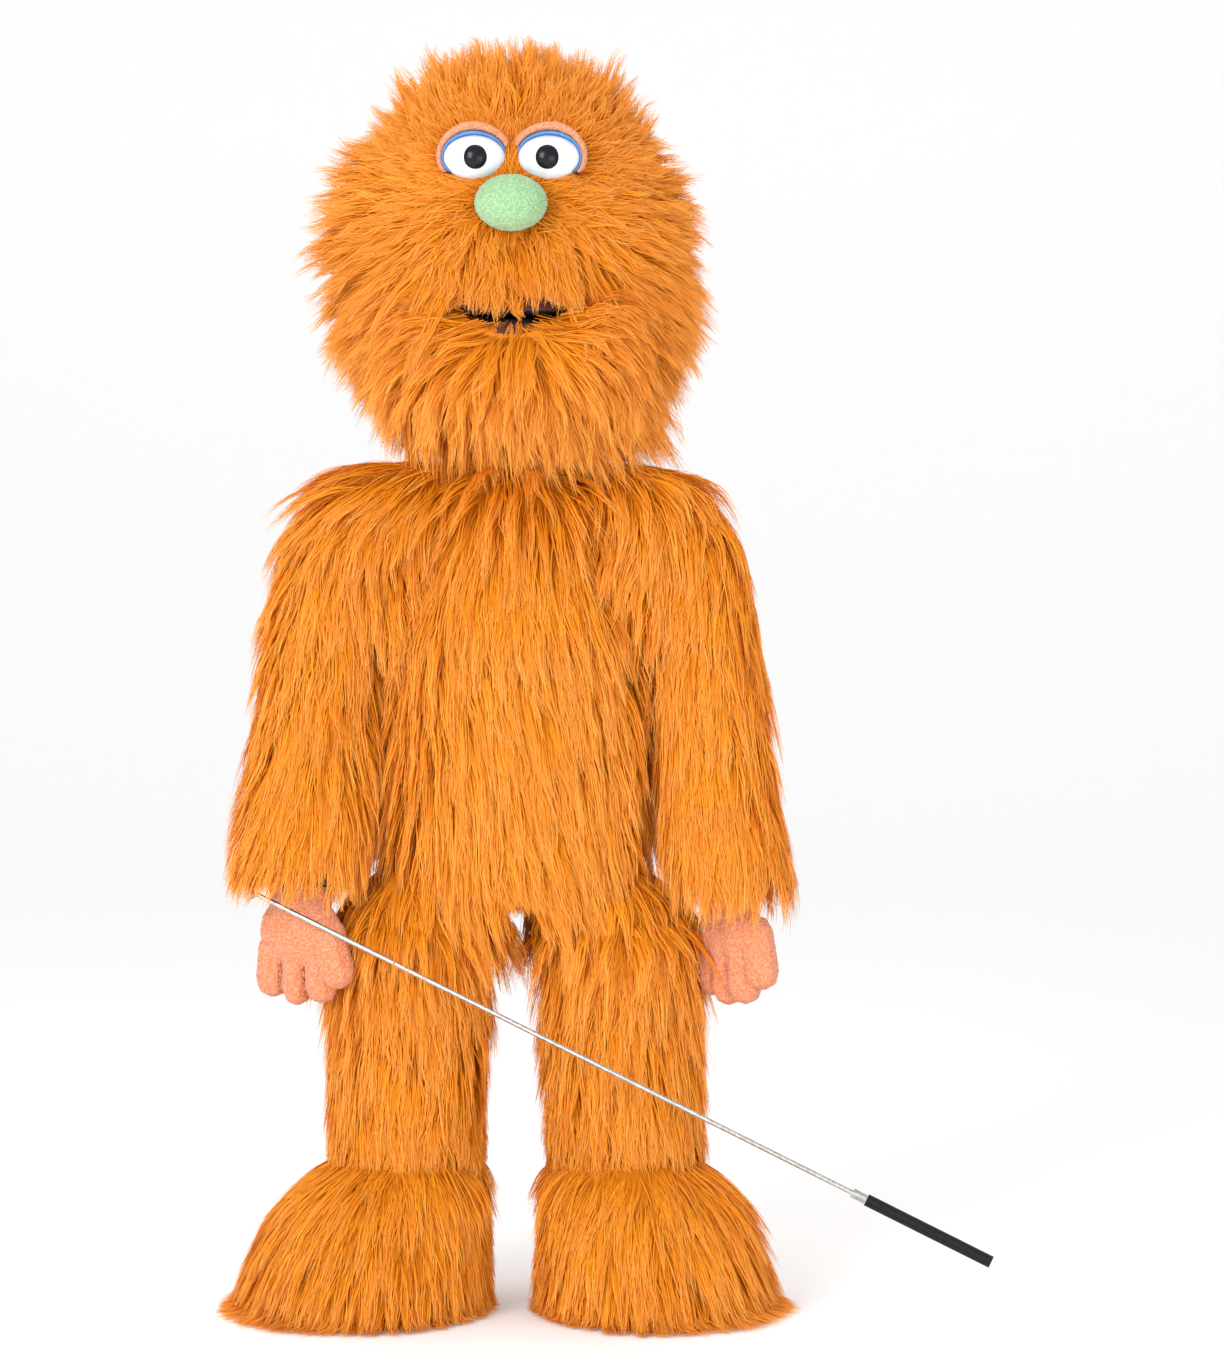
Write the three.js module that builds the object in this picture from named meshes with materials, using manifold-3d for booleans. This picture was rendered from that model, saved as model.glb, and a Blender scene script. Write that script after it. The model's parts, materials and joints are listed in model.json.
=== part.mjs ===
// A full-body moving-mouth monster puppet with an arm rod, standing on its own feet.
// Units are millimetres, +Z is up and the face looks along -Y. "right" and "left" are the puppet's own:
// its right hand is on the -X side and carries the rod.

import * as THREE from 'three';
import { mergeVertices } from 'three/addons/utils/BufferGeometryUtils.js';
import Module from 'manifold-3d';

const wasm = await Module();
wasm.setup();

// ---------------------------------------------------------------- driving dimensions

const GAP = 0.4;                 // air between two pieces that touch
const BODY_FUR = 10;             // depth of the laid pile with its backing, on the body
const BODY_FOAM = 8;             // foam wall of the body
const HEAD_FUR = 16;             // depth of the laid pile on the head
const HEAD_FOAM = 12;            // foam wall of the head
const LIMB_FUR = 12;             // depth of the laid pile on arms and legs

const NECK_Y = 28;               // the neck passage stands behind the mouth
const NECK_HOLE_RADIUS = 36;     // hole in the top of the body
const NECK_SLEEVE_RADIUS = 34.5;
const NECK_SLEEVE_LOW = 468;
const NECK_SLEEVE_TOP = 546;
const NECK_CLOTH = 2.5;
const HEAD_OPENING_RADIUS = 42;  // hole in the underside of the head

const OPENING_Z = 300;           // hand opening in the back
const OPENING_HALF_WIDTH = 42;
const OPENING_HALF_HEIGHT = 44;
const HEM_WIDTH = 3;
const HEM_OVERLAP = 1.5;

const MOUTH_Y = -10;             // mouth hinge line
const MOUTH_Z = 592;
const MOUTH_HALF_WIDTH = 52;
const MOUTH_DEPTH = 70;
const MOUTH_REST_DEG = 8.5;      // the mouth stands a little open
const BOARD_THICKNESS = 3.6;
const LINING_THICKNESS = 2.6;
const UPPER_LINING_Z = MOUTH_Z + 1;
const UPPER_BOARD_Z = UPPER_LINING_Z + LINING_THICKNESS + GAP;
const LOWER_LINING_Z = MOUTH_Z - 2 * GAP - LINING_THICKNESS;
const LOWER_BOARD_Z = LOWER_LINING_Z - GAP - BOARD_THICKNESS;
const POCKET_CLOTH = 2;          // finger and thumb pockets

const JAW_BOTTOM = 548;
const JAW_FUR = 9;               // depth of the laid pile under the chin
const JAW_FOAM = 6;

const EYE_X = 21.5;
const EYE_Z = 680;
const EYE_SIZE = [17.8, 12, 13.2];       // half width, half depth and half height
const INNER_LID_SIZE = [20, 14, 15.7];
const OUTER_LID_SIZE = [21.5, 15, 19];
const PUPIL_SIZE = [7.5, 3.4, 7.5];
const INNER_LID_FRONT = -84;             // the lids reach this far forwards
const OUTER_LID_FRONT = -86;
const NOSE_Z = 652.5;
const NOSE_SIZE = [21, 19, 16.2];

const ARM_Y = 8;                 // shoulder axis
const ELBOW_Z = 372;
const ELBOW_Y = -2;
const WRIST_X = 127;
const WRIST_Y = -22;
const CUFF_Z = 274;              // lower end of the fur sleeve
const WRIST_HALF_WIDTH = 19;
const WRIST_HALF_DEPTH = 12;
const WRIST_TOP = 282;           // the wrist stands up inside the sleeve
const PALM_Z = 226;
const PALM_SIZE = [27, 12, 23];
const FINGER_LENGTHS = [38, 42, 40];
const FINGER_PITCH = 15;
const FINGER_RADIUS = 9.2;
const THUMB_RADIUS = 9;
const RIGHT_HAND_TURN = -30;     // degrees that the palm is turned in, thumb forwards
const LEFT_HAND_TURN = 122;
const ELBOW_FOLD = 40;           // half angle of the air wedge inside each fold, in degrees

const LEG_X = 65;
const LEG_Y = 5;
const HIP_Z = 238;
const KNEE_Z = 165;
const ANKLE_Z = 82;
const HIP_FOLD = 41;
const KNEE_FOLD = 38;
const SOLE_THICKNESS = 3;

const ROD_START = new THREE.Vector3(-155, -41, 252);
const ROD_END = new THREE.Vector3(276.5, -106, 43);
const ROD_RADIUS = 1.5;
const FERRULE_LENGTH = 9;
const FERRULE_RADIUS = 2.8;
const HANDLE_LENGTH = 80;
const HANDLE_RADIUS = 3.6;
const STRAP_LOW = 254;
const STRAP_HIGH = 262;
const PIN_RADIUS = 1.6;
const PIN_HOLE_RADIUS = 2;

const BODY_SIDES = 18;           // facets round each lofted body
const HEAD_SIDES = 20;
const LIMB_SIDES = 12;
const FOOT_SIDES = 16;

// Stations of the lofted bodies, from bottom to top: [z, centre x, centre y, half width, half depth]

const TORSO = [
  [241, 0, 8, 60, 40], [252, 0, 8, 75, 53], [290, 0, 8, 78, 60], [350, 0, 8, 79, 62], [415, 0, 10, 73, 61],
  [440, 0, 15, 59, 56], [490, 0, 23, 56, 50], [500, 0, 24, 50, 47],
];

const HEAD = [
  [540, 0, 18, 66, 64], [552, 0, 12, 84, 76], [575, 0, 2, 96, 92], [610, 0, -2, 103, 97],
  [645, 0, -2, 103, 98], [684, 0, -1, 92, 89], [712, 0, 0, 70, 68], [730, 0, 0, 42, 41], [738, 0, 0, 20, 20],
];

const UPPER_ARM = [
  [ELBOW_Z, 117, ELBOW_Y, 35, 34], [418, 113, 3, 34, 34], [444, 105, 6, 34, 34], [472, 98, ARM_Y, 34, 34],
  [494, 97, ARM_Y, 29, 28], [507, 96, ARM_Y, 12, 12],
];

const FOREARM = [
  [CUFF_Z, WRIST_X, WRIST_Y, 36, 33], [320, 120, -12, 36, 34], [ELBOW_Z, 117, ELBOW_Y, 35, 34],
];

const THIGH = [
  [KNEE_Z, LEG_X, LEG_Y, 46, 43], [224, LEG_X, LEG_Y, 46, 43], [HIP_Z, 61, LEG_Y, 41, 39],
];

const SHIN = [[ANKLE_Z + GAP, LEG_X, LEG_Y, 47, 44], [KNEE_Z, LEG_X, LEG_Y, 46, 43]];

const FOOT = [
  [0.6, 86, -14, 73, 85], [10, 86, -14, 76, 88], [36, 85, -13, 73, 84], [62, 78, -5, 63, 66],
  [ANKLE_Z, 67, 4, 46, 44],
];

// ---------------------------------------------------------------- materials

const finish = (color, roughness, metalness = 0) =>
  new THREE.MeshStandardMaterial({ color, roughness, metalness });

const FUR = finish('#f0912a', 0.9);
const FOAM = finish('#e8d9a8', 0.95);
const FILLING = finish('#f2efe6', 0.95);
const LINING = finish('#4a1512', 0.9);
const BOARD = finish('#8a7a62', 0.8);
const CLOTH = finish('#3a2c24', 0.9);
const TERRY_CORAL = finish('#f49a76', 0.95);
const TERRY_GREEN = finish('#97dc98', 0.95);
const FELT_BLUE = finish('#5b93d0', 0.9);
const EYE_WHITE = finish('#f2f2fa', 0.25);
const EYE_BLACK = finish('#0a0a0a', 0.1);
const STEEL = finish('#a6a8a4', 0.35, 1);
const BLACK_GRIP = finish('#161614', 0.6);

// ---------------------------------------------------------------- solids

/** A closed three.js geometry as a manifold-3d solid. */
function solid(geometry) {
  const bare = geometry.clone();
  bare.deleteAttribute('normal');
  bare.deleteAttribute('uv');
  const merged = mergeVertices(bare, 1e-4);
  const corners = merged.index.array;
  const kept = [];
  for (let i = 0; i < corners.length; i += 3) {
    const [a, b, c] = corners.slice(i, i + 3);
    if (a !== b && b !== c && c !== a) kept.push(a, b, c);
  }
  return new wasm.Manifold(new wasm.Mesh({
    numProp: 3,
    vertProperties: new Float32Array(merged.attributes.position.array),
    triVerts: new Uint32Array(kept),
  }));
}

/** A named mesh from a manifold-3d solid. */
function piece(name, body, material) {
  const { vertProperties, triVerts } = body.getMesh();
  const geometry = new THREE.BufferGeometry();
  geometry.setAttribute('position', new THREE.BufferAttribute(new Float32Array(vertProperties), 3));
  geometry.setIndex(Array.from(triVerts));
  geometry.computeVertexNormals();
  const mesh = new THREE.Mesh(geometry, material);
  mesh.name = name;
  return mesh;
}

const union = (...bodies) => bodies.reduce((all, next) => all.add(next));

/** A body lofted through oval stations: a lathed drum whose rings are stretched to each station. */
function loft(stations, segments) {
  const heights = stations.map(([z]) => z);
  const profile = [new THREE.Vector2(0, heights[0]), ...heights.map((z) => new THREE.Vector2(1, z)),
    new THREE.Vector2(0, heights.at(-1))];
  const drum = new THREE.LatheGeometry(profile, segments).rotateX(Math.PI / 2);
  const at = drum.attributes.position;
  for (let i = 0; i < at.count; i++) {
    const ring = Math.min(Math.max(i % profile.length - 1, 0), stations.length - 1);
    const [z, x, y, halfWidth, halfDepth] = stations[ring];
    at.setXYZ(i, x + at.getX(i) * halfWidth, y + at.getY(i) * halfDepth, z);
  }
  return solid(drum);
}

/** The lofted body less a wall: low and high take the end faces in by that much too, or out below 0. */
function drawnIn(stations, segments, wall, low = wall, high = wall) {
  const narrowed = stations.map(([z, x, y, halfWidth, halfDepth]) =>
    [z, x, y, Math.max(halfWidth - wall, 1), Math.max(halfDepth - wall, 1)]);
  const bottom = narrowed[0][0] + low;
  const top = narrowed.at(-1)[0] - high;
  if (low < 0) narrowed.unshift([bottom, ...narrowed[0].slice(1)]);
  if (high < 0) narrowed.push([top, ...narrowed.at(-1).slice(1)]);
  const slab = new THREE.BoxGeometry(800, 800, top - bottom).translate(0, 0, (top + bottom) / 2);
  return loft(narrowed, segments).intersect(solid(slab));
}

/** Stations mirrored to the side that side (-1 or 1) names. */
const onSide = (stations, side) => stations.map(([z, x, ...rest]) => [z, side * x, ...rest]);

/** A prism along X over an outline of [y, z] points. */
function prismAlongX(outline, halfLength) {
  const shape = new THREE.Shape(outline.map(([y, z]) => new THREE.Vector2(y, z)));
  const geometry = new THREE.ExtrudeGeometry(shape, { depth: 2 * halfLength, bevelEnabled: false });
  const turn = new THREE.Matrix4().makeBasis(
    new THREE.Vector3(0, 1, 0), new THREE.Vector3(0, 0, 1), new THREE.Vector3(1, 0, 0));
  return solid(geometry.applyMatrix4(turn).translate(-halfLength, 0, 0));
}

function ellipsoid([x, y, z], [a, b, c], around = 20, along = 12) {
  const ball = new THREE.SphereGeometry(1, around, along).rotateX(Math.PI / 2);
  return solid(ball.scale(a, b, c).translate(x, y, z));
}

/** An upright drum of oval section, as a geometry that can still be turned. */
function ovalDrum(halfWidth, halfDepth, low, high, segments) {
  const drum = new THREE.CylinderGeometry(1, 1, high - low, segments).rotateX(Math.PI / 2);
  return drum.scale(halfWidth, halfDepth, 1).translate(0, 0, (low + high) / 2);
}

function uprightCylinder(x, y, low, high, radius, segments = 24) {
  return solid(ovalDrum(radius, radius, low, high, segments).translate(x, y, 0));
}

/** A round bar between two points. */
function bar(from, to, radius, segments = 12) {
  const along = to.clone().sub(from);
  const rod = new THREE.CylinderGeometry(radius, radius, along.length(), segments);
  const turn = new THREE.Quaternion();
  turn.setFromUnitVectors(new THREE.Vector3(0, 1, 0), along.clone().normalize());
  const middle = from.clone().add(to).multiplyScalar(0.5);
  return solid(rod.applyQuaternion(turn).translate(middle.x, middle.y, middle.z));
}

function ring(x, y, low, high, inner, outer, segments = 24) {
  const profile = [[inner, low], [outer, low], [outer, high], [inner, high], [inner, low]];
  const tube = new THREE.LatheGeometry(profile.map(([r, z]) => new THREE.Vector2(r, z)), segments);
  return solid(tube.rotateX(Math.PI / 2).translate(x, y, 0));
}

/** A wedge of air that opens from a hinge line, so that two pieces can fold towards it. */
function foldWedge(y, z, direction, halfAngleDeg, up, reach = 90) {
  const rise = up * reach * Math.tan(THREE.MathUtils.degToRad(halfAngleDeg));
  const lift = up * GAP / 2;
  const outline = [[y - direction * reach, z - up * 5], [y - direction * reach, z + lift], [y, z + lift],
    [y + direction * reach, z + lift + rise], [y + direction * reach, z - up * 5]];
  return prismAlongX(outline, 200);
}

// ---------------------------------------------------------------- body

function torso() {
  const bodyShape = (wall) => drawnIn(TORSO, BODY_SIDES, wall);
  const neckHole = uprightCylinder(0, NECK_Y, 430, 510, NECK_HOLE_RADIUS, 20);
  const ovalBar = (grow) => {
    const oval = new THREE.CylinderGeometry(1, 1, 60, 20);
    oval.scale(OPENING_HALF_WIDTH + grow, 1, OPENING_HALF_HEIGHT + grow);
    return solid(oval.translate(0, 60, OPENING_Z));
  };
  const cut = (body) => body.subtract(neckHole).subtract(ovalBar(0));
  const hem = ovalBar(-GAP).subtract(ovalBar(-GAP - HEM_WIDTH))
    .intersect(bodyShape(-HEM_OVERLAP)).subtract(bodyShape(BODY_FUR + BODY_FOAM + HEM_OVERLAP));
  return [
    piece('torso_fur', cut(bodyShape(0).subtract(bodyShape(BODY_FUR))), FUR),
    piece('torso_foam', cut(bodyShape(BODY_FUR + GAP).subtract(bodyShape(BODY_FUR + BODY_FOAM))), FOAM),
    piece('hand_opening_hem', hem, CLOTH),
  ];
}

function neck() {
  const tube = ring(0, NECK_Y, NECK_SLEEVE_LOW, NECK_SLEEVE_TOP,
    NECK_SLEEVE_RADIUS - NECK_CLOTH, NECK_SLEEVE_RADIUS);
  return piece('neck_sleeve', tube, CLOTH);
}

// ---------------------------------------------------------------- head

/** The D-shaped outline that both mouth boards are cut to, as a slab from low to high. */
function mouthSlab(low, high, grow = 0) {
  const shape = new THREE.Shape();
  shape.absellipse(0, 0, MOUTH_HALF_WIDTH + grow, MOUTH_DEPTH - 2 + grow, Math.PI, 2 * Math.PI, false, 0);
  shape.closePath();
  const cut = { depth: high - low, bevelEnabled: false, curveSegments: 14 };
  return solid(new THREE.ExtrudeGeometry(shape, cut).translate(0, MOUTH_Y - 2 + grow, low));
}

/** A cloth band arched over a board, for fingers or a thumb: up is 1 above the board, -1 below it. */
function pocketBand(y, z, width, halfSpan, height, up) {
  const band = new THREE.Shape();
  band.absellipse(0, 0, halfSpan + POCKET_CLOTH, height + POCKET_CLOTH, 0, Math.PI, false, 0);
  band.lineTo(-halfSpan, 0);
  band.absellipse(0, 0, halfSpan, height, Math.PI, 0, true, 0);
  band.closePath();
  const strip = new THREE.ExtrudeGeometry(band, { depth: width, bevelEnabled: false, curveSegments: 8 });
  strip.rotateX(Math.PI / 2).translate(0, y, 0);
  if (up < 0) strip.rotateY(Math.PI);
  return solid(strip.translate(0, 0, z));
}

const headShape = (wall, low = wall, high = wall) => drawnIn(HEAD, HEAD_SIDES, wall, low, high);

/** One eye: its white, pupil, blue inner lid and coral outer lid, and the hole they need in the fur. */
function eye(side) {
  const x = side * EYE_X;
  const frontOf = (y) => prismAlongX([[-160, 600], [y, 600], [y, 760], [-160, 760]], 80);
  const below = (z) => prismAlongX([[-160, 600], [-20, 600], [-20, z], [-160, z]], 80);
  const grown = (size, grow) => size.map((half) => half + grow);
  const white = (grow) => ellipsoid([x, -80, EYE_Z], grown(EYE_SIZE, grow), 16, 8);
  const blue = (grow) => ellipsoid([x, -79, EYE_Z + 1], grown(INNER_LID_SIZE, grow), 16, 8);
  const coral = (grow) => ellipsoid([x + side, -77, EYE_Z + 2], grown(OUTER_LID_SIZE, grow), 16, 8);
  const pupil = ellipsoid([side * (EYE_X - 0.7), -91, EYE_Z - 0.5], PUPIL_SIZE, 14, 6);
  const innerLid = blue(0).subtract(white(GAP)).subtract(frontOf(INNER_LID_FRONT));
  const outerLid = coral(0).subtract(white(GAP)).subtract(blue(GAP)).subtract(frontOf(OUTER_LID_FRONT));
  const ownSide = solid(new THREE.BoxGeometry(78, 120, 120).translate(side * (39 + GAP), -60, EYE_Z));
  const seated = (body) => body.subtract(headShape(HEAD_FUR)).intersect(ownSide);
  const name = side < 0 ? 'right' : 'left';
  return {
    hole: union(white(1), coral(1)),
    pieces: [
      piece(`${name}_eye_white`, seated(white(0)), EYE_WHITE),
      piece(`${name}_pupil`, pupil.subtract(white(GAP)), EYE_BLACK),
      piece(`${name}_inner_lid`, seated(innerLid.subtract(below(EYE_Z + 1))), FELT_BLUE),
      piece(`${name}_outer_lid`, seated(outerLid.subtract(below(EYE_Z - 4))), TERRY_CORAL),
    ],
  };
}

function head() {
  const front = prismAlongX(
    [[MOUTH_Y + 1, 500], [MOUTH_Y + 1, MOUTH_Z + GAP], [-160, MOUTH_Z + GAP], [-160, 500]], 160);
  const neckOpening = uprightCylinder(0, NECK_Y, 520, 590, HEAD_OPENING_RADIUS, 20);
  const boardPocket = mouthSlab(MOUTH_Z - 5, MOUTH_Z + 8, GAP);
  const fingerRoom = mouthSlab(MOUTH_Z - 5, MOUTH_Z + 40, -6);
  const noseShape = (grow) => ellipsoid([0, -99, NOSE_Z], NOSE_SIZE.map((half) => half + grow), 18, 10);
  const eyes = [eye(-1), eye(1)];

  const trimmed = (body) => body.subtract(front).subtract(neckOpening).subtract(boardPocket);
  const fur = trimmed(headShape(0).subtract(headShape(HEAD_FUR - GAP)))
    .subtract(noseShape(GAP)).subtract(eyes[0].hole).subtract(eyes[1].hole);
  const foamWall = headShape(HEAD_FUR).subtract(headShape(HEAD_FUR + HEAD_FOAM));
  const foam = trimmed(foamWall).subtract(fingerRoom);

  // The tape hangs behind the boards and is folded forwards over the upper one.
  const tapeOutline = [[-4.5, 584], [-3, 584], [-3, 602.1], [-22, 602.1], [-22, 600.6], [-4.5, 600.6]];
  return [
    piece('head_fur', fur, FUR),
    piece('head_foam', foam, FOAM),
    piece('upper_mouth_board', mouthSlab(UPPER_BOARD_Z, UPPER_BOARD_Z + BOARD_THICKNESS), BOARD),
    piece('upper_mouth_lining', mouthSlab(UPPER_LINING_Z, UPPER_LINING_Z + LINING_THICKNESS), LINING),
    piece('mouth_hinge_tape', prismAlongX(tapeOutline, 42), CLOTH),
    piece('finger_pocket', pocketBand(-30, UPPER_BOARD_Z + BOARD_THICKNESS + GAP, 26, 32, 22, 1), CLOTH),
    ...eyes.flatMap((side) => side.pieces),
    piece('nose', noseShape(0).subtract(headShape(HEAD_FUR - GAP)), TERRY_GREEN),
  ];
}

/** The jaw is built closed, then its group is turned down about the mouth hinge to where it rests. */
function jaw() {
  const top = MOUTH_Z - GAP;
  const scoop = (low, front, rear) => prismAlongX(
    [[MOUTH_Y - 1, top], [rear, low], [front + 18, low], [front, low + 24], [front, top]], 160);
  const jawShape = (wall) => headShape(wall, 0, 0);
  const boardPocket = mouthSlab(LOWER_BOARD_Z - GAP, MOUTH_Z + 5, GAP);
  const furInside = JAW_BOTTOM + JAW_FUR;
  const outside = jawShape(0).intersect(scoop(JAW_BOTTOM, -102, MOUTH_Y - 25));
  const underFur = jawShape(HEAD_FUR - GAP).intersect(scoop(furInside, -96, MOUTH_Y + 20));
  const foamOutside = jawShape(HEAD_FUR).intersect(scoop(furInside + GAP, -95, MOUTH_Y - 20));
  const cavity = jawShape(HEAD_FUR + JAW_FOAM).intersect(scoop(furInside + JAW_FOAM, -90, MOUTH_Y + 20));
  const turned = new THREE.Group();
  turned.add(
    piece('jaw_fur', outside.subtract(underFur).subtract(boardPocket), FUR),
    piece('jaw_foam', foamOutside.subtract(cavity).subtract(boardPocket), FOAM),
    piece('lower_mouth_board', mouthSlab(LOWER_BOARD_Z, LOWER_BOARD_Z + BOARD_THICKNESS), BOARD),
    piece('lower_mouth_lining', mouthSlab(LOWER_LINING_Z, LOWER_LINING_Z + LINING_THICKNESS), LINING),
    piece('thumb_pocket', pocketBand(-32, LOWER_BOARD_Z - GAP, 20, 13, 15, -1), CLOTH),
  );
  for (const mesh of turned.children) mesh.position.set(0, -MOUTH_Y, -MOUTH_Z);
  turned.position.set(0, MOUTH_Y, MOUTH_Z);
  turned.rotation.x = THREE.MathUtils.degToRad(MOUTH_REST_DEG);
  return turned;
}

// ---------------------------------------------------------------- arms

/** A stuffed fur sleeve: the fur tube and the filling inside it, both trimmed by the same wedges. */
function furTube(name, stations, side, ends, wedges) {
  const placed = onSide(stations, side);
  const trim = (body) => wedges.reduce((left, wedge) => left.subtract(wedge), body);
  const bore = drawnIn(placed, LIMB_SIDES, LIMB_FUR - GAP, ends.low, ends.high);
  const tube = loft(placed, LIMB_SIDES).subtract(bore);
  const fillLow = Math.max(ends.low, 0) + ends.fillLow;
  const fillHigh = Math.max(ends.high, 0) + GAP;
  return [
    piece(`${name}_fur`, trim(tube), FUR),
    piece(`${name}_filling`, trim(drawnIn(placed, LIMB_SIDES, LIMB_FUR, fillLow, fillHigh)), FILLING),
  ];
}

/** A stuffed terry hand with three fingers and a thumb, its wrist standing up into the sleeve. */
function hand(name, side, x, turnDeg) {
  const finger = (across, forwards, low, high, radius, leanDeg) => {
    const capsule = new THREE.CapsuleGeometry(radius, high - low - 2 * radius, 2, 8).rotateX(Math.PI / 2);
    capsule.translate(0, 0, -(high - low) / 2).rotateY(THREE.MathUtils.degToRad(leanDeg));
    return solid(capsule.translate(across, forwards, high));
  };
  const fingers = FINGER_LENGTHS.map((length, i) => finger(
    side * (17 - FINGER_PITCH * i), 0, PALM_Z - length, PALM_Z, FINGER_RADIUS, side * (4 * i - 5)));
  const thumb = finger(side * -19, -3, PALM_Z - 32, PALM_Z + 10, THUMB_RADIUS, side * 16);
  const wrist = solid(ovalDrum(WRIST_HALF_WIDTH, WRIST_HALF_DEPTH, WRIST_TOP - 46, WRIST_TOP, 14));
  const palm = ellipsoid([0, 0, PALM_Z], PALM_SIZE, 12, 8);
  const mesh = piece(name, union(palm, ...fingers, thumb, wrist), TERRY_CORAL);
  mesh.rotation.z = THREE.MathUtils.degToRad(turnDeg);
  mesh.position.set(x, WRIST_Y, 0);
  return mesh;
}

function arm(side) {
  const name = side < 0 ? 'right' : 'left';
  const upperFold = foldWedge(ELBOW_Y, ELBOW_Z, -1, ELBOW_FOLD, 1);
  const lowerFold = foldWedge(ELBOW_Y, ELBOW_Z, -1, ELBOW_FOLD, -1);
  const turn = side < 0 ? RIGHT_HAND_TURN : LEFT_HAND_TURN;
  const handX = side < 0 ? -WRIST_X : WRIST_X + 2;
  return [
    ...furTube(`${name}_upper_arm`, UPPER_ARM, side, { low: -1, high: LIMB_FUR, fillLow: 0 }, [upperFold]),
    ...furTube(`${name}_forearm`, FOREARM, side, { low: -1, high: -1, fillLow: 16 }, [lowerFold]),
    hand(`${name}_hand`, side, handX, turn),
  ];
}

/** The band round the right wrist, with the tab that holds the rod's pin. */
function wristStrap() {
  const oval = (grow, low, high) => solid(
    ovalDrum(WRIST_HALF_WIDTH + grow, WRIST_HALF_DEPTH + grow, low, high, 14)
      .rotateZ(THREE.MathUtils.degToRad(RIGHT_HAND_TURN)).translate(-WRIST_X, WRIST_Y, 0));
  const middle = (STRAP_LOW + STRAP_HIGH) / 2;
  const [pinX, pinY] = [ROD_START.x, ROD_START.y];
  const tab = bar(new THREE.Vector3(-140, -27, middle), new THREE.Vector3(pinX, pinY, middle), 3, 4);
  const eyelet = uprightCylinder(pinX, pinY, middle - 2.5, middle + 2.5, 4, 12);
  const pinHole = uprightCylinder(pinX, pinY, STRAP_LOW - 4, STRAP_HIGH + 4, PIN_HOLE_RADIUS, 10);
  const wristRoom = oval(GAP, STRAP_LOW - 4, STRAP_HIGH + 4);
  const band = oval(2.4, STRAP_LOW, STRAP_HIGH).add(tab).add(eyelet).subtract(wristRoom).subtract(pinHole);
  return piece('wrist_strap', band, CLOTH);
}

function rod() {
  const along = ROD_END.clone().sub(ROD_START).normalize();
  const at = (distance) => ROD_START.clone().addScaledVector(along, distance);
  const length = ROD_END.distanceTo(ROD_START);
  const gripStart = length - HANDLE_LENGTH;
  const pinLow = ROD_START.z - 2;
  const pinTop = ROD_START.z + 10;
  const pin = uprightCylinder(ROD_START.x, ROD_START.y, pinLow, pinTop, PIN_RADIUS, 10)
    .add(ellipsoid([ROD_START.x, ROD_START.y, pinLow], [2.6, 2.6, 2.6], 8, 6))
    .add(ellipsoid([ROD_START.x, ROD_START.y, pinTop], [2.4, 2.4, 1.5], 8, 6));
  const ferruleBore = bar(at(gripStart - FERRULE_LENGTH - 3), at(gripStart + 2), ROD_RADIUS + GAP, 12);
  const ferrule = bar(at(gripStart - FERRULE_LENGTH), at(gripStart - GAP), FERRULE_RADIUS, 12);
  return [
    piece('rod_pin', pin, STEEL),
    piece('arm_rod', bar(at(4), at(gripStart - GAP), ROD_RADIUS, 8), STEEL),
    piece('rod_ferrule', ferrule.subtract(ferruleBore), STEEL),
    piece('rod_handle', bar(at(gripStart), at(length), HANDLE_RADIUS, 12), BLACK_GRIP),
  ];
}

// ---------------------------------------------------------------- legs

function foot(side) {
  const name = side < 0 ? 'right' : 'left';
  const placed = onSide(FOOT, side);
  const insoleTop = 9;
  const [bottom, x, y, halfWidth, halfDepth] = placed[0];
  const hollow = drawnIn(placed, FOOT_SIDES, LIMB_FUR, -2, insoleTop);
  const foam = drawnIn(placed, FOOT_SIDES, LIMB_FUR + GAP, SOLE_THICKNESS + GAP - bottom, insoleTop + GAP);
  const margin = LIMB_FUR + 3 * GAP;
  const sole = ovalDrum(halfWidth - margin, halfDepth - margin, 0, SOLE_THICKNESS, FOOT_SIDES);
  return [
    piece(`${name}_foot_fur`, loft(placed, FOOT_SIDES).subtract(hollow), FUR),
    piece(`${name}_foot_foam`, foam, FOAM),
    piece(`${name}_sole`, solid(sole.translate(x, y, 0)), CLOTH),
  ];
}

function leg(side) {
  const name = side < 0 ? 'right' : 'left';
  const hipFold = foldWedge(LEG_Y, HIP_Z - 0.6, 1, HIP_FOLD, -1);
  const kneeFold = (up) => foldWedge(LEG_Y, KNEE_Z, 1, KNEE_FOLD, up);
  return [
    ...furTube(`${name}_thigh`, THIGH, side, { low: -1, high: 9, fillLow: 0 }, [hipFold, kneeFold(1)]),
    ...furTube(`${name}_shin`, SHIN, side, { low: 9, high: -1, fillLow: GAP }, [kneeFold(-1)]),
    ...foot(side),
  ];
}

// ---------------------------------------------------------------- the puppet

const puppet = new THREE.Group();
puppet.add(...torso(), neck(), ...head(), jaw());
puppet.add(...arm(-1), ...arm(1), wristStrap(), ...rod());
puppet.add(...leg(-1), ...leg(1));

// The origin is the middle of the footprint, on the floor.
const size = new THREE.Box3().setFromObject(puppet, true);
const middle = size.getCenter(new THREE.Vector3());
puppet.position.set(-middle.x, -middle.y, -size.min.z);

export default puppet;
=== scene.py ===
import json
import math

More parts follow.
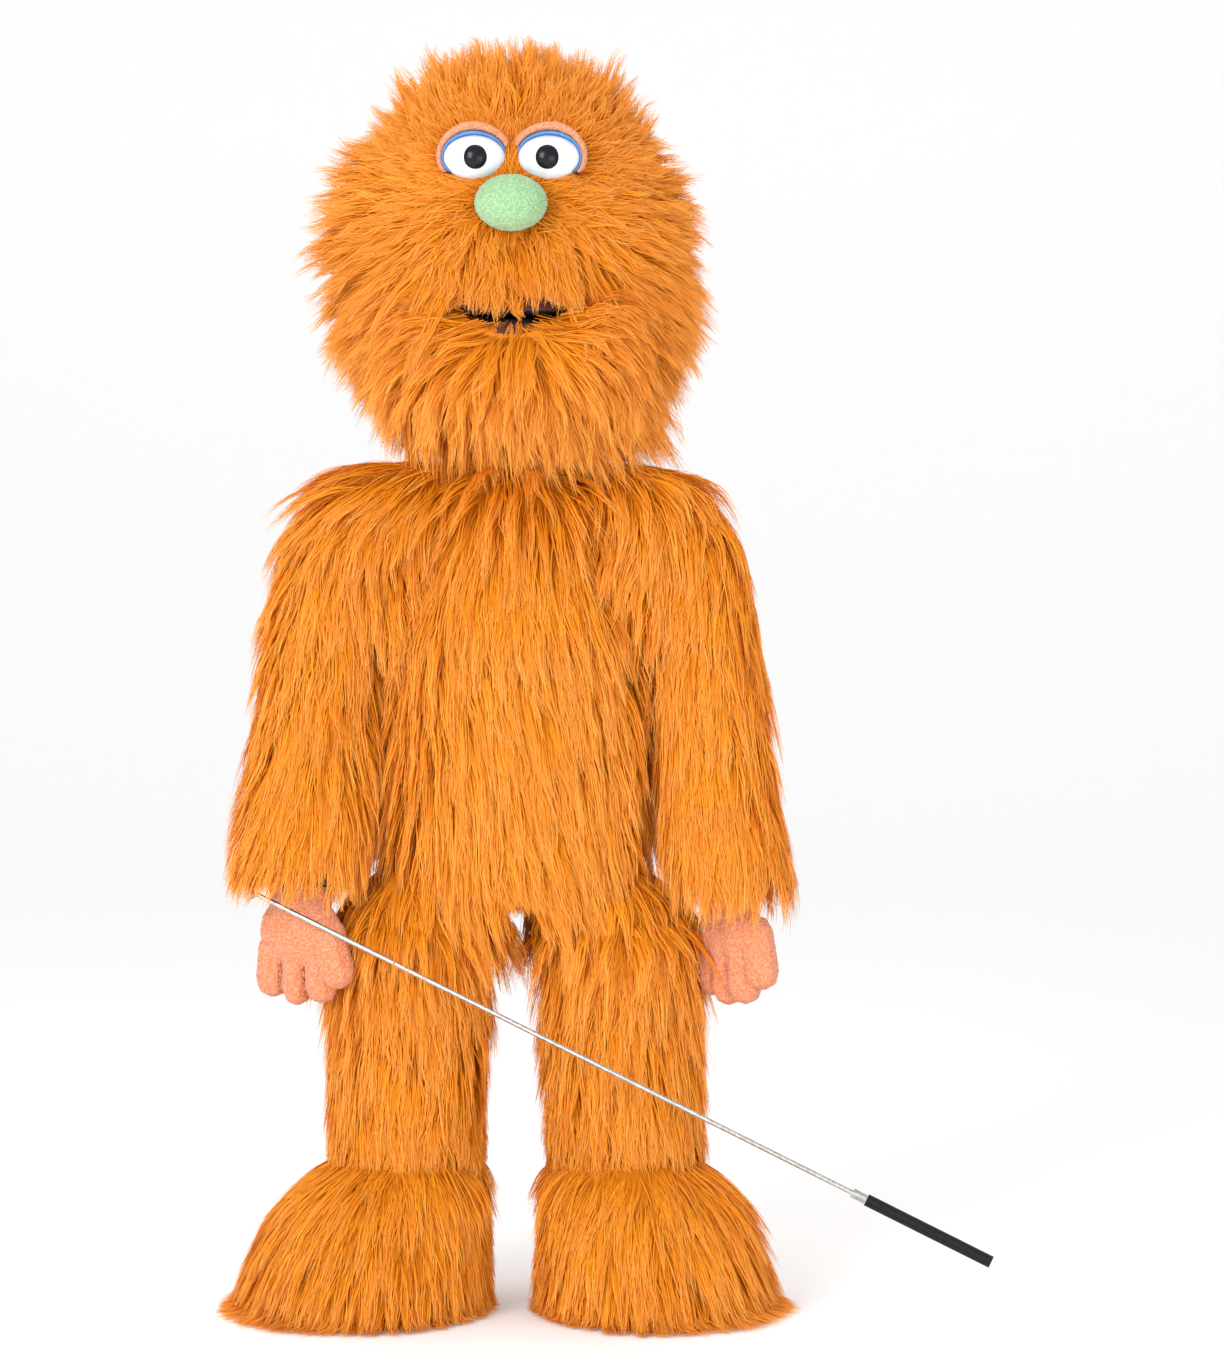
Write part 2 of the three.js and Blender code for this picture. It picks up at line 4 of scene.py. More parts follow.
import bpy
import numpy as np
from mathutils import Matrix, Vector


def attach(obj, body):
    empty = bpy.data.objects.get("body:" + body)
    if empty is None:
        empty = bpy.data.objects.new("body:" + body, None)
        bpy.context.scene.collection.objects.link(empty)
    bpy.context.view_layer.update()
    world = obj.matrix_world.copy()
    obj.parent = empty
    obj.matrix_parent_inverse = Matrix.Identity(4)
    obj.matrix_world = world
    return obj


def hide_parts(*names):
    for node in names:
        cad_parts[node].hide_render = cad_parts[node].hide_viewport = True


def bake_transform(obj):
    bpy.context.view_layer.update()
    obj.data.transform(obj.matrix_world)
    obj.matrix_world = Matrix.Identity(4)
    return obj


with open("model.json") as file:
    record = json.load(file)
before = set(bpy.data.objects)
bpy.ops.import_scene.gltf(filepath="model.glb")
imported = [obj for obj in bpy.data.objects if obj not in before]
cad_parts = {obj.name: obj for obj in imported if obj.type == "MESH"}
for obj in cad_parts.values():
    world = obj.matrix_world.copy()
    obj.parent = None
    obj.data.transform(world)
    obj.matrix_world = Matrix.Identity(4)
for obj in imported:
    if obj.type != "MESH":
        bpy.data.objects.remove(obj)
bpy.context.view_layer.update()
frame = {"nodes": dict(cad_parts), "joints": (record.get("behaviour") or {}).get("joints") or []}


# ---- Studio ----
# The puppet stands on a pale table top that runs back into a pale wall. A large soft lamp hangs
# high in front on the left, a low one fills from the right, and a weak one hangs overhead.

MM = 0.001
pivot = {joint["name"]: Vector(joint["pos_m"]) for joint in frame["joints"]}
# Places are given in millimetres from a point on the table between the feet.
NECK_BACK = 28
NECK_HEIGHT = 520
origin = pivot["neck_turn"] - Vector((0, NECK_BACK, NECK_HEIGHT)) * MM


def at(x, y, z):
    """A place on the puppet, from millimetres to the frame."""
    return origin + Vector((x, y, z)) * MM


camera_data = bpy.data.cameras.new("camera")
camera_data.sensor_width = 36
camera_data.lens = 114.9
camera = bpy.data.objects.new("camera", camera_data)
bpy.context.scene.collection.objects.link(camera)
bpy.context.scene.camera = camera
camera.location = at(58, -2600, 450)
aim = at(58, 0, 375)
camera.rotation_mode = "QUATERNION"
camera.rotation_quaternion = (aim - camera.location).to_track_quat("-Z", "Y")
camera_data.clip_start = 0.05
camera_data.clip_end = 30


def area_lamp(name, place, target, size, power):
    """A square soft lamp that points at a target."""
    lamp_data = bpy.data.lights.new(name, "AREA")
    lamp_data.size = size
    lamp_data.energy = power
    lamp = bpy.data.objects.new(name, lamp_data)
    bpy.context.scene.collection.objects.link(lamp)
    lamp.location = place
    lamp.rotation_mode = "QUATERNION"
    lamp.rotation_quaternion = (target - place).to_track_quat("-Z", "Y")


middle = at(0, 0, 400)
area_lamp("key_lamp", at(-1100, -2150, 1150), middle, 1.0, 36)
area_lamp("fill_lamp", at(900, -2300, 200), at(0, 0, 160), 1.4, 21)
area_lamp("top_lamp", at(100, 300, 2100), middle, 1.2, 5.5)

room = bpy.data.worlds.new("room")
bpy.context.scene.world = room
room.use_nodes = True
room.node_tree.nodes["Background"].inputs["Color"].default_value = (1, 1, 1, 1)
room.node_tree.nodes["Background"].inputs["Strength"].default_value = 0.8
bpy.context.scene.view_settings.view_transform = "Standard"


def new_material(name, colour, roughness, metallic=0.0):
    """A material with a Principled shader, and its tree and shader to add to."""
    material = bpy.data.materials.new(name)
    material.use_nodes = True
    tree = material.node_tree
    shader = tree.nodes["Principled BSDF"]
    shader.inputs["Base Color"].default_value = (*colour, 1)
    shader.inputs["Roughness"].default_value = roughness
    shader.inputs["Metallic"].default_value = metallic
    return material, tree, shader


def mesh_object(name, points, faces, material):
    """A mesh from points in metres and faces, with smooth shading."""
    mesh = bpy.data.meshes.new(name)
    mesh.from_pydata([tuple(p) for p in points], [], [tuple(f) for f in faces])
    mesh.validate()
    mesh.polygons.foreach_set("use_smooth", [True] * len(mesh.polygons))
    mesh.materials.append(material)
    piece = bpy.data.objects.new(name, mesh)
    bpy.context.scene.collection.objects.link(piece)
    return piece


paper, _, paper_shader = new_material("pale_table", (0.93, 0.93, 0.93), 0.85)
paper_shader.inputs["Emission Color"].default_value = (1, 1, 1, 1)
paper_shader.inputs["Emission Strength"].default_value = 0.12
FLOOR_WIDTH = 9.0
FLOOR_FRONT = -6.0
FLOOR_BACK = 4.0
SWEEP_RADIUS = 1.2
SWEEP_STEPS = 16
WALL_TOP = 7.0
sweep_profile = [(FLOOR_FRONT, 0.0), (FLOOR_BACK, 0.0)]
for step in range(1, SWEEP_STEPS + 1):
    bend = math.pi / 2 * step / SWEEP_STEPS
    sweep_profile.append((FLOOR_BACK + SWEEP_RADIUS * math.sin(bend), SWEEP_RADIUS * (1 - math.cos(bend))))
sweep_profile.append((FLOOR_BACK + SWEEP_RADIUS, WALL_TOP))
sweep_points = []
for y, z in sweep_profile:
    sweep_points += [(-FLOOR_WIDTH / 2, y, z), (FLOOR_WIDTH / 2, y, z)]
sweep_faces = [(2 * i, 2 * i + 1, 2 * i + 3, 2 * i + 2) for i in range(len(sweep_profile) - 1)]
table_top = mesh_object("table_top", sweep_points, sweep_faces, paper)


# ---- Body fur ----
# Long-pile acrylic fur cloth, dyed orange, sewn into a loose tube over a foam body. The pile
# is about 55 mm long and hangs down in pointed locks, each of many fine fibres.


def smooth_rows(rows, per_gap=6):
    """Rows of z, centre x, centre y, half width and half depth, with curved rows added between."""
    rows = np.array(rows, float)
    before = np.vstack([2 * rows[0] - rows[1], rows[:-1]])
    after = np.vstack([rows[1:], 2 * rows[-1] - rows[-2]])
    slope = (after - before) / 2
    finer = []
    for i in range(len(rows) - 1):
        for t in np.arange(per_gap) / per_gap:
            curve = (2 * t**3 - 3 * t**2 + 1) * rows[i] + (t**3 - 2 * t**2 + t) * slope[i]
            curve = curve + (3 * t**2 - 2 * t**3) * rows[i + 1] + (t**3 - t**2) * slope[i + 1]
            finer.append(curve)
    finer.append(rows[-1])
    finer = np.array(finer)
    finer[:, 0] = np.maximum.accumulate(finer[:, 0])
    return finer


def mirrored(rows, side):
    """The same rows on the other side of the puppet when side is -1."""
    return [[z, side * x, y, wide, deep] for z, x, y, wide, deep in rows]


def on_skin(rows, turn, rise):
    """Points on the skin: turn goes round from the front, rise counts rows from the bottom."""
    count = np.arange(len(rows))
    z, x, y, wide, deep = (np.interp(rise, count, rows[:, k]) for k in range(5))
    return np.stack([x + wide * np.sin(turn), y - deep * np.cos(turn), z], -1)


def unit(vectors):
    """Vectors made one long."""
    return vectors / np.maximum(np.linalg.norm(vectors, axis=-1, keepdims=True), 1e-9)


def skin_normals(rows, turn, rise):
    """The skin's outward directions and how much area a step there covers."""
    nudge = 0.02
    low, high = np.maximum(rise - nudge, 0), np.minimum(rise + nudge, len(rows) - 1)
    round_way = on_skin(rows, turn + nudge, rise) - on_skin(rows, turn - nudge, rise)
    up_way = on_skin(rows, turn, high) - on_skin(rows, turn, low)
    up_way = up_way / np.maximum(high - low, 1e-9)[:, None] * nudge * 2
    cross = np.cross(round_way, up_way)
    return unit(cross), np.linalg.norm(cross, axis=-1)


def outside_of(rows):
    """A function that tells how far points stand off the skin and which way is out."""

    def gap(points):
        z = np.clip(points[:, 2], rows[0, 0], rows[-1, 0])
        x, y, wide, deep = (np.interp(z, rows[:, 0], rows[:, k]) for k in range(1, 5))
        across = (points[:, 0] - x) / wide
        along = (points[:, 1] - y) / deep
        reach = np.sqrt(across**2 + along**2) + 1e-9
        slope = np.stack([across / wide, along / deep, np.zeros(len(points))], -1)
        steep = np.linalg.norm(slope, axis=-1) / reach + 1e-9
        beyond = np.abs(points[:, 2] - z)
        return (reach - 1) / steep + beyond * 3, unit(slope)

    return gap


def ripple(points, size, seed):
    """Slow noise between -1 and 1 over places, about size millimetres from bump to bump."""
    dice = np.random.default_rng(seed)
    total = np.zeros(len(points))
    for wave in range(4):
        way = dice.normal(size=3)
        way = way / np.linalg.norm(way) * (0.7 + 0.5 * wave) / size * 3
        total = total + np.sin(points @ way + dice.uniform(0, 6.28)) / (1 + 0.4 * wave)
    return total / 2.2


def blend_in(value, low, high):
    """0 below low, 1 above high, smooth between."""
    t = np.clip((value - low) / (high - low), 0, 1)
    return t * t * (3 - 2 * t)


# Left, front, back and top: the axis, where the pile starts to lie closer, and the room beyond.
PILE_LIMITS = ((0, -163, -17), (1, -110, -11), (1, 90, 13), (2, 744, 19))


def settled(points):
    """Pile tips that would stand out furthest lie closer."""
    for axis, start, room in PILE_LIMITS:
        over = (points[..., axis] - start) / room
        points[..., axis] = np.where(over > 0, start + room * np.tanh(over), points[..., axis])


PILE_STEPS = 5
PILE_SHARES = np.linspace(0, 1, PILE_STEPS + 1)
ROOT_DEPTH = 1.5
WAVE_LENGTH = 34
SHADE_COLUMNS = 64
COLUMN_EDGES = np.array([0.1, 0.9])
# The root colour is painted shade: the pile is darkened at its roots, deep in the pile where shade falls.
ROOT_PAINTED_SHADE, MIDDLE_SHADE, TIP_SHADE = (0.6, 0.175, 0.003), (0.9, 0.3, 0.01), (0.97, 0.415, 0.075)
# The dark and pale tints vary each lock and fibre at random, partly as painted shade between the locks and
# painted highlight on them; the dark end also carries the head's painted shade.
DARK_TONE_AND_PAINTED_SHADE, PALE_TONE_AND_PAINTED_HIGHLIGHT = (0.8, 0.7, 0.6), (1.0, 1.16, 1.6)


def three_colours(tree, mask, low, middle, high, position):
    """A ramp through three colours, with the middle one at the position given."""
    ramp = tree.nodes.new("ShaderNodeValToRGB")
    ramp.color_ramp.elements[0].color = (*low, 1)
    ramp.color_ramp.elements[1].color = (*high, 1)
    ramp.color_ramp.elements.new(position).color = (*middle, 1)
    tree.links.new(mask, ramp.inputs["Fac"])
    return ramp.outputs["Color"]


def fur_material():
    """The orange pile: darker at the roots as painted shade deep in the pile, paler at the tips, each fibre
    a little different, partly as painted shade and highlight between the locks.
    """
    material, tree, shader = new_material("orange_pile", MIDDLE_SHADE, 0.6)
    shader.inputs["Specular IOR Level"].default_value = 0.2
    places = tree.nodes.new("ShaderNodeUVMap")
    places.uv_map = "OFBake"
    split = tree.nodes.new("ShaderNodeSeparateXYZ")
    tree.links.new(places.outputs["UV"], split.inputs["Vector"])
    # Along each fibre: painted shade darkens the roots, and the colour grows paler towards the tips.
    along = three_colours(tree, split.outputs["Y"], ROOT_PAINTED_SHADE, MIDDLE_SHADE, TIP_SHADE, 0.45)
    tint_with_painted_light = three_colours(tree, split.outputs["X"], DARK_TONE_AND_PAINTED_SHADE, (1.0, 1.0, 1.0), PALE_TONE_AND_PAINTED_HIGHLIGHT, 0.5)
    mix = tree.nodes.new("ShaderNodeMix")
    mix.data_type = "RGBA"
    mix.blend_type = "MULTIPLY"
    mix.inputs["Factor"].default_value = 1.0
    tree.links.new(along, mix.inputs["A"])
    tree.links.new(tint_with_painted_light, mix.inputs["B"])
    tree.links.new(mix.outputs["Result"], shader.inputs["Base Color"])
    return material


orange_pile = fur_material()


def plain_keep(points):
    """Keeps every root."""
    return np.ones(len(points), bool)


def as_made(points, back=False):
    """Leaves places where they are."""
    return points


def lock_roots(dice, rows, locks, keep, grows, place):
    """Where the locks grow, and the skin's outward directions there."""
    tries = locks * 60
    turn = dice.uniform(0, 2 * math.pi, tries)
    rise = dice.uniform(0, len(rows) - 1, tries)
    normals, area = skin_normals(rows, turn, rise)
    roots = on_skin(rows, turn, rise)
    normals = place(normals + roots) - place(roots)
    roots = place(roots)
    chance = area * keep(roots) * grows(roots)
    chosen = dice.choice(tries, locks, replace=False, p=chance / chance.sum())
    return roots[chosen], unit(normals[chosen])


def lock_paths(dice, rows, roots, normals, reach, rise_angle, flow, height, wave, stiff, floor, place):
    """The curve that each lock follows, and the directions across and along the skin at its root."""
    gap = outside_of(rows)
    way = unit(flow(roots))
    flat = unit(way - normals * np.sum(way * normals, -1, keepdims=True) * 0.9)
    heading = unit(flat * np.cos(rise_angle) + normals * np.sin(rise_angle))
    sideways = unit(np.cross(normals, flat))
    here = roots - normals * ROOT_DEPTH
    path = [here]
    tall = height * dice.uniform(0.5, 1.25, len(roots))
    for step in range(1, PILE_STEPS + 1):
        share = step / PILE_STEPS
        pull = unit(flow(here))
        heading = unit(heading * (1 - share * (1 - stiff)) + pull * share * (1 - stiff))
        here = here + heading * (reach / PILE_STEPS)[:, None]
        level = place(here, back=True)
        away, outward = gap(level)
        outward = place(outward + level) - here
        need = tall * math.sin(min(share * 1.6, 1) * math.pi / 2) * 0.55
        here = here + outward * np.clip(need - away, 0, 12)[:, None]
        if floor is not None:
            here[:, 2] = np.maximum(here[:, 2], floor + 1.0 + 2 * (1 - share))
        path.append(here)
    path = np.array(path)
    phase = dice.uniform(0, 6.28, len(roots))
    swing = wave * dice.uniform(0.3, 1.3, len(roots))
    for step, share in enumerate(PILE_SHARES):
        sway = np.sin(share * reach / WAVE_LENGTH * 6.28 + phase) * swing * share ** 0.8
        path[step] += sideways * sway[:, None]
    return path, sideways, flat


def fibre_ribbons(dice, path, normals, sideways, flat, fibres, spread, gather, floor):
    """A narrow tapered ribbon for each fibre: its left and right points, and where it is cut."""
    locks = len(normals)
    count = (locks, fibres)
    cut = dice.uniform(0.62, 1.0, count)
    spot = dice.uniform(0, 6.28, count)
    distance = spread * np.sqrt(dice.uniform(0, 1, count))
    root_shift = (sideways[:, None] * (np.cos(spot) * distance)[..., None]
                  + flat[:, None] * (np.sin(spot) * distance * 1.5)[..., None])
    stray = dice.normal(size=(locks, fibres, 3)) * 1.1
    roll = dice.uniform(-1.0, 1.0, count)
    width = dice.uniform(0.55, 1.0, count)
    centre = np.empty((PILE_STEPS + 1, locks, fibres, 3))
    index = np.arange(locks)[:, None]
    for step, share in enumerate(PILE_SHARES):
        place_on = share * cut * PILE_STEPS
        below = np.minimum(place_on.astype(int), PILE_STEPS - 1)
        part = (place_on - below)[..., None]
        base = path[below, index] * (1 - part) + path[below + 1, index] * part
        centre[step] = base + root_shift * (1 - gather * share ** 0.8) + stray * share
    settled(centre)
    if floor is not None:
        centre[..., 2] = np.maximum(centre[..., 2], floor + 0.6)
    forward = np.empty_like(centre)
    forward[1:-1] = centre[2:] - centre[:-2]
    forward[0] = centre[1] - centre[0]
    forward[-1] = centre[-1] - centre[-2]
    forward = unit(forward)
    across = unit(np.cross(forward, np.broadcast_to(normals[None, :, None], forward.shape)))
    lifted = np.cross(across, forward)
    blade = across * np.cos(roll)[None, ..., None] + lifted * np.sin(roll)[None, ..., None]
    taper = 1 - 0.82 * PILE_SHARES**1.6
    half = blade * (width[None, ...] * taper[:, None, None])[..., None] * 0.5
    sides = [np.moveaxis(centre - half, 0, 2), np.moveaxis(centre + half, 0, 2)]
    return np.stack(sides, 3).reshape(-1, 3), cut


def cloth_backing(rows, turns, keep, place):
    """The cloth that the pile grows from: its points and its four-cornered faces."""
    ups = max(len(rows) - 1, 2)
    turn = np.linspace(0, 2 * math.pi, turns, endpoint=False)
    turn, rise = np.meshgrid(turn, np.arange(ups + 1), indexing="ij")
    cloth = place(on_skin(rows, turn.ravel(), rise.ravel()))
    i, j = np.meshgrid(np.arange(turns), np.arange(ups), indexing="ij")
    i, j = i.ravel(), j.ravel()
    n = (i + 1) % turns
    quads = np.stack([i * (ups + 1) + j, n * (ups + 1) + j,
                      n * (ups + 1) + j + 1, i * (ups + 1) + j + 1], -1)
    return cloth, quads[keep(cloth[quads].mean(1))]


def fur_mesh(name, points, corners, u, v):
    """One mesh of four-cornered faces, with u for the fibre's tone, which carries painted shade and
    highlight, and v for the place along it.
    """
    used, corners = np.unique(corners, return_inverse=True)
    points, u, v = points[used], u[used], v[used]
    mesh = bpy.data.meshes.new(name)
    mesh.vertices.add(len(points))
    mesh.loops.add(len(corners))
    mesh.polygons.add(len(corners) // 4)
    places = points * MM + np.array(origin)
    mesh.vertices.foreach_set("co", places.astype(np.float32).ravel())
    mesh.loops.foreach_set("vertex_index", corners.astype(np.int32))
    mesh.polygons.foreach_set("loop_start", np.arange(0, len(corners), 4, dtype=np.int32))
    mesh.polygons.foreach_set("use_smooth", np.ones(len(corners) // 4, bool))
    layer = mesh.uv_layers.new(name="OFBake")
    layer.data.foreach_set("uv", np.stack([u[corners], v[corners]], -1).astype(np.float32).ravel())
    mesh.update(calc_edges=True)
    mesh.materials.append(orange_pile)
    piece = bpy.data.objects.new(name, mesh)
    bpy.context.scene.collection.objects.link(piece)
    return piece


def fur_piece(name, rows, seed, locks, length, lift, flow, keep=plain_keep, grows=plain_keep,
              fibres=22, spread=8.5, height=9, wave=2.7, gather=0.85, place=as_made, floor=None,
              stiff=0.5, turns=96, tone_with_painted_shade=0.5):
    """A patch of fur cloth: a backing and the locks that grow on it, as one mesh.
    length in millimetres and lift in degrees are numbers, or functions of the roots. flow gives the way the
    pile lies, keep the part of the skin that is covered, and grows how densely. The last setting gives the
    pile's tone; below 0.5 it is darker, as painted shade."""
    dice = np.random.default_rng(seed)
    roots, normals = lock_roots(dice, rows, locks, keep, grows, place)
    reach = length(roots) if callable(length) else np.full(locks, float(length))
    reach = reach * dice.uniform(0.78, 1.12, locks)
    rise_angle = lift(roots) if callable(lift) else np.full(locks, float(lift))
    rise_angle = np.radians(rise_angle * dice.uniform(0.6, 1.4, locks))[:, None]
    path, sideways, flat = lock_paths(dice, rows, roots, normals, reach, rise_angle, flow, height, wave,
                                      stiff, floor, place)
    pile, cut = fibre_ribbons(dice, path, normals, sideways, flat, fibres, spread, gather, floor)
    strands = locks * fibres
    one = []
    for step in range(PILE_STEPS):
        one += [2 * step, 2 * step + 1, 2 * step + 3, 2 * step + 2]
    corners = (np.array(one)[None] + np.arange(strands)[:, None] * 2 * (PILE_STEPS + 1)).ravel()

    # Each lock's and fibre's tone: the given base, slow noise and a random spread, partly painted shade and
    # highlight between the locks.
    fibre_tone_with_painted_light = (tone_with_painted_shade + 0.1 * ripple(roots, 45, 3) + dice.normal(0, 0.07, locks))[:, None]
    fibre_tone_with_painted_light = fibre_tone_with_painted_light + dice.normal(0, 0.12, (locks, fibres))
    column = np.clip(fibre_tone_with_painted_light * SHADE_COLUMNS, 0, SHADE_COLUMNS - 1).astype(int).ravel()
    u = (column[:, None, None] + COLUMN_EDGES[None, None]) / SHADE_COLUMNS
    u = np.broadcast_to(u, (strands, PILE_STEPS + 1, 2)).reshape(-1)
    v = (PILE_SHARES[None] * cut.reshape(-1, 1))[..., None]
    v = np.broadcast_to(v, (strands, PILE_STEPS + 1, 2)).reshape(-1)

    cloth, quads = cloth_backing(rows, turns, keep, place)
    # The backing takes the dark root colour: painted shade under the pile.
    cloth_u = 0.5 + 0.01 * (np.arange(len(cloth)) % 3)
    backing_v_root_painted_shade = 0.02 + 0.03 * (np.arange(len(cloth)) % 2)
    corners = np.concatenate([corners, (quads + len(pile)).ravel()])
    return fur_mesh(name, np.vstack([pile, cloth]), corners, np.concatenate([u, cloth_u]),
                    np.concatenate([v, backing_v_root_painted_shade]))


BODY_SKIN = smooth_rows([
    [242, 0, 8, 30, 18], [246, 0, 8, 56, 38], [256, 0, 8, 67, 49], [290, 0, 8, 70, 52],
    [350, 0, 8, 71, 54], [415, 0, 10, 65, 53], [450, 0, 16, 52, 46], [486, 0, 23, 47, 42],
    [498, 0, 24, 41, 38], [500, 0, 26, 36, 36]])
HAND_OPENING = (0, 300, 44, 46)


def off_hand_opening(points):
    """True away from the oval in the back that the puppeteer's arm goes through."""
    x, z, wide, tall = HAND_OPENING
    inside = ((points[:, 0] - x) / wide) ** 2 + ((points[:, 2] - z) / tall) ** 2 < 1
    return ~(inside & (points[:, 1] > 20))


def body_flow(points):
    """Body pile hangs down, leaning a little from side to side, and outward at the top."""
    x, y, z = points[:, 0], points[:, 1], points[:, 2]
    top = blend_in(z, 430, 500)
    sway = 0.26 * ripple(points, 95, 5) + 0.15 * ripple(points, 34, 6)
    lean = sway + x / 60 * (0.12 + 0.7 * top)
    depth = 0.1 * ripple(points, 70, 7) + (y - 20) / 50 * 0.6 * top
    return np.stack([lean, depth, -np.ones(len(x))], -1)


def body_length(roots):
    """Shorter between the legs, so the pile stops at the crotch."""
    fork = 1 - blend_in(np.abs(roots[:, 0]), 6, 22)
    drop = np.clip(roots[:, 2] - 238, 12, 64)
    return 64 * (1 - fork) + drop * fork


def body_lift(roots):
    """Nearly flat on the chest, fuller at the sides, round the neck and over the hand opening."""
    side = blend_in(np.abs(roots[:, 0]), 38, 68)
    x, z, wide, tall = HAND_OPENING
    away = np.hypot((roots[:, 0] - x) / wide, (roots[:, 2] - z) / tall)
    over = (1 - blend_in(away, 1.0, 1.7)) * blend_in(roots[:, 1], 20, 40) * blend_in(roots[:, 2], z, z + 30)
    return 13 + 11 * side + 26 * blend_in(roots[:, 2], 478, 496) + 20 * over


body_parts = (("lower", 0, 325, 640), ("middle", 325, 410, 560), ("upper", 410, 1000, 640))
for part, (place_name, low, high, locks) in enumerate(body_parts):
    def in_part(points, low=low, high=high):
        return off_hand_opening(points) & (points[:, 2] >= low) & (points[:, 2] < high)

    body_fur = fur_piece(place_name + "_body_fur", BODY_SKIN, 11 + part, locks, body_length, body_lift,
                         body_flow, in_part)
    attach(body_fur, "torso")
    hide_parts("torso_fur")


# ---- Arms ----
# Each arm is a soft tube of the same fur, sewn to the body at the shoulder and lightly stuffed,
# with an unstuffed crease at the elbow. The pile hides the shoulder seam and hangs past the cuff.

SHOULDER_SKIN = [[418, 80, 12, 28, 27], [445, 78, 13, 34, 31], [468, 76, 14, 38, 32],
                 [486, 72, 16, 38, 29], [497, 66, 18, 32, 24], [502, 60, 20, 20, 16], [503, 58, 20, 6, 6]]
ARM_SKIN = [[276, 126, -22, 29, 26], [320, 120, -12, 28, 27], [372, 116, -2, 27, 27],
            [418, 112, 3, 26, 26], [444, 106, 6, 26, 26], [470, 99, 8, 24, 24], [486, 97, 8, 12, 12]]
ARM_HIGH, ARM_LOW = 470, 276
ARM_OUT_HIGH, ARM_OUT_LOW = 99, 126
ELBOW_CUT = 335
SLEEVE_END = {"right": 242, "left": 232}

for side, hand in ((-1, "right"), (1, "left")):
    def arm_outer(points, side=side):
        """From -1 at the side of the arm next to the body to 1 at its outer side."""
        down = np.clip((ARM_HIGH - points[:, 2]) / (ARM_HIGH - ARM_LOW), 0, 1.2)
        axis = ARM_OUT_HIGH + (ARM_OUT_LOW - ARM_OUT_HIGH) * down
        return np.clip((points[:, 0] * side - axis) / 28, -1.2, 1.2)

    def arm_flow(points, side=side, outer=arm_outer):
        """Arm pile hangs down along the arm and stands away from it at both sides."""
        x, z = points[:, 0], points[:, 2]
        outward = 0.02 - 0.03 * side + (0.12 - 0.03 * side) * outer(points)
        outward = outward + (0.6 - 0.25 * side) * blend_in(z, 455, 500)
        lean = side * outward + 0.2 * ripple(points, 70, 15 + side) + 0.11 * ripple(points, 26, 25)
        return np.stack([lean, 0.14 * ripple(points, 60, 35) - 0.08, -np.ones(len(x))], -1)

    def arm_lift(roots, side=side, outer=arm_outer):
        """Nearly flat in front and fuller at both sides of the arm."""
        return 12 + (10 - 3 * side) * blend_in(np.abs(outer(roots)), 0.3, 1.0)

    def sleeve_length(roots, end=SLEEVE_END[hand]):
        """The pile ends raggedly over the hand."""
        ragged = end + 5 * ripple(roots, 14, 27)
        return np.clip(roots[:, 2] - ragged, 20, 58)

    def shoulder_part(points, side=side):
        return (points[:, 0] * side > 34) & (points[:, 2] > 425)

    def upper_part(points):
        return points[:, 2] > ELBOW_CUT

    def lower_part(points):
        return points[:, 2] <= ELBOW_CUT

    shoulder_rows = smooth_rows(mirrored(SHOULDER_SKIN, side))
    arm_rows = smooth_rows(mirrored(ARM_SKIN, side))
    shoulder_fur = fur_piece(hand + "_shoulder_fur", shoulder_rows, 31 + side, 420, 58, 22, arm_flow,
                             shoulder_part, turns=64)
    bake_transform(shoulder_fur)
    upper_fur = fur_piece(hand + "_upper_arm_fur_pile", arm_rows, 41 + side, 560, 58, arm_lift, arm_flow,
                          upper_part, turns=64)
    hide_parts(hand + "_upper_arm_fur", hand + "_upper_arm_filling")
    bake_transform(upper_fur)
    lower_fur = fur_piece(hand + "_forearm_fur_pile", arm_rows, 51 + side, 430, sleeve_length, arm_lift,
                          arm_flow, lower_part, turns=64)
    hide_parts(hand + "_forearm_fur", hand + "_forearm_filling")
    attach(lower_fur, hand + "_forearm")


# ---- Legs ----
# The legs are straight soft tubes of fur with a crease at the hip and the knee. Their pile
# hangs down to a seam at the ankle and stands a little proud of the foot.

HIP_SKIN = [[196, 64, 5, 41, 37], [224, 63, 6, 41, 37], [244, 58, 7, 38, 37], [262, 50, 8, 26, 32]]
LEG_SKIN = [[78, 65, 5, 36, 34], [84, 65, 5, 40, 38], [110, 65, 5, 41, 38], [165, 64, 5, 41, 38],
            [224, 63, 5, 40, 37], [236, 62, 5, 32, 30], [241, 61, 5, 14, 14]]
KNEE_CUT = 128
HEM_END = 86

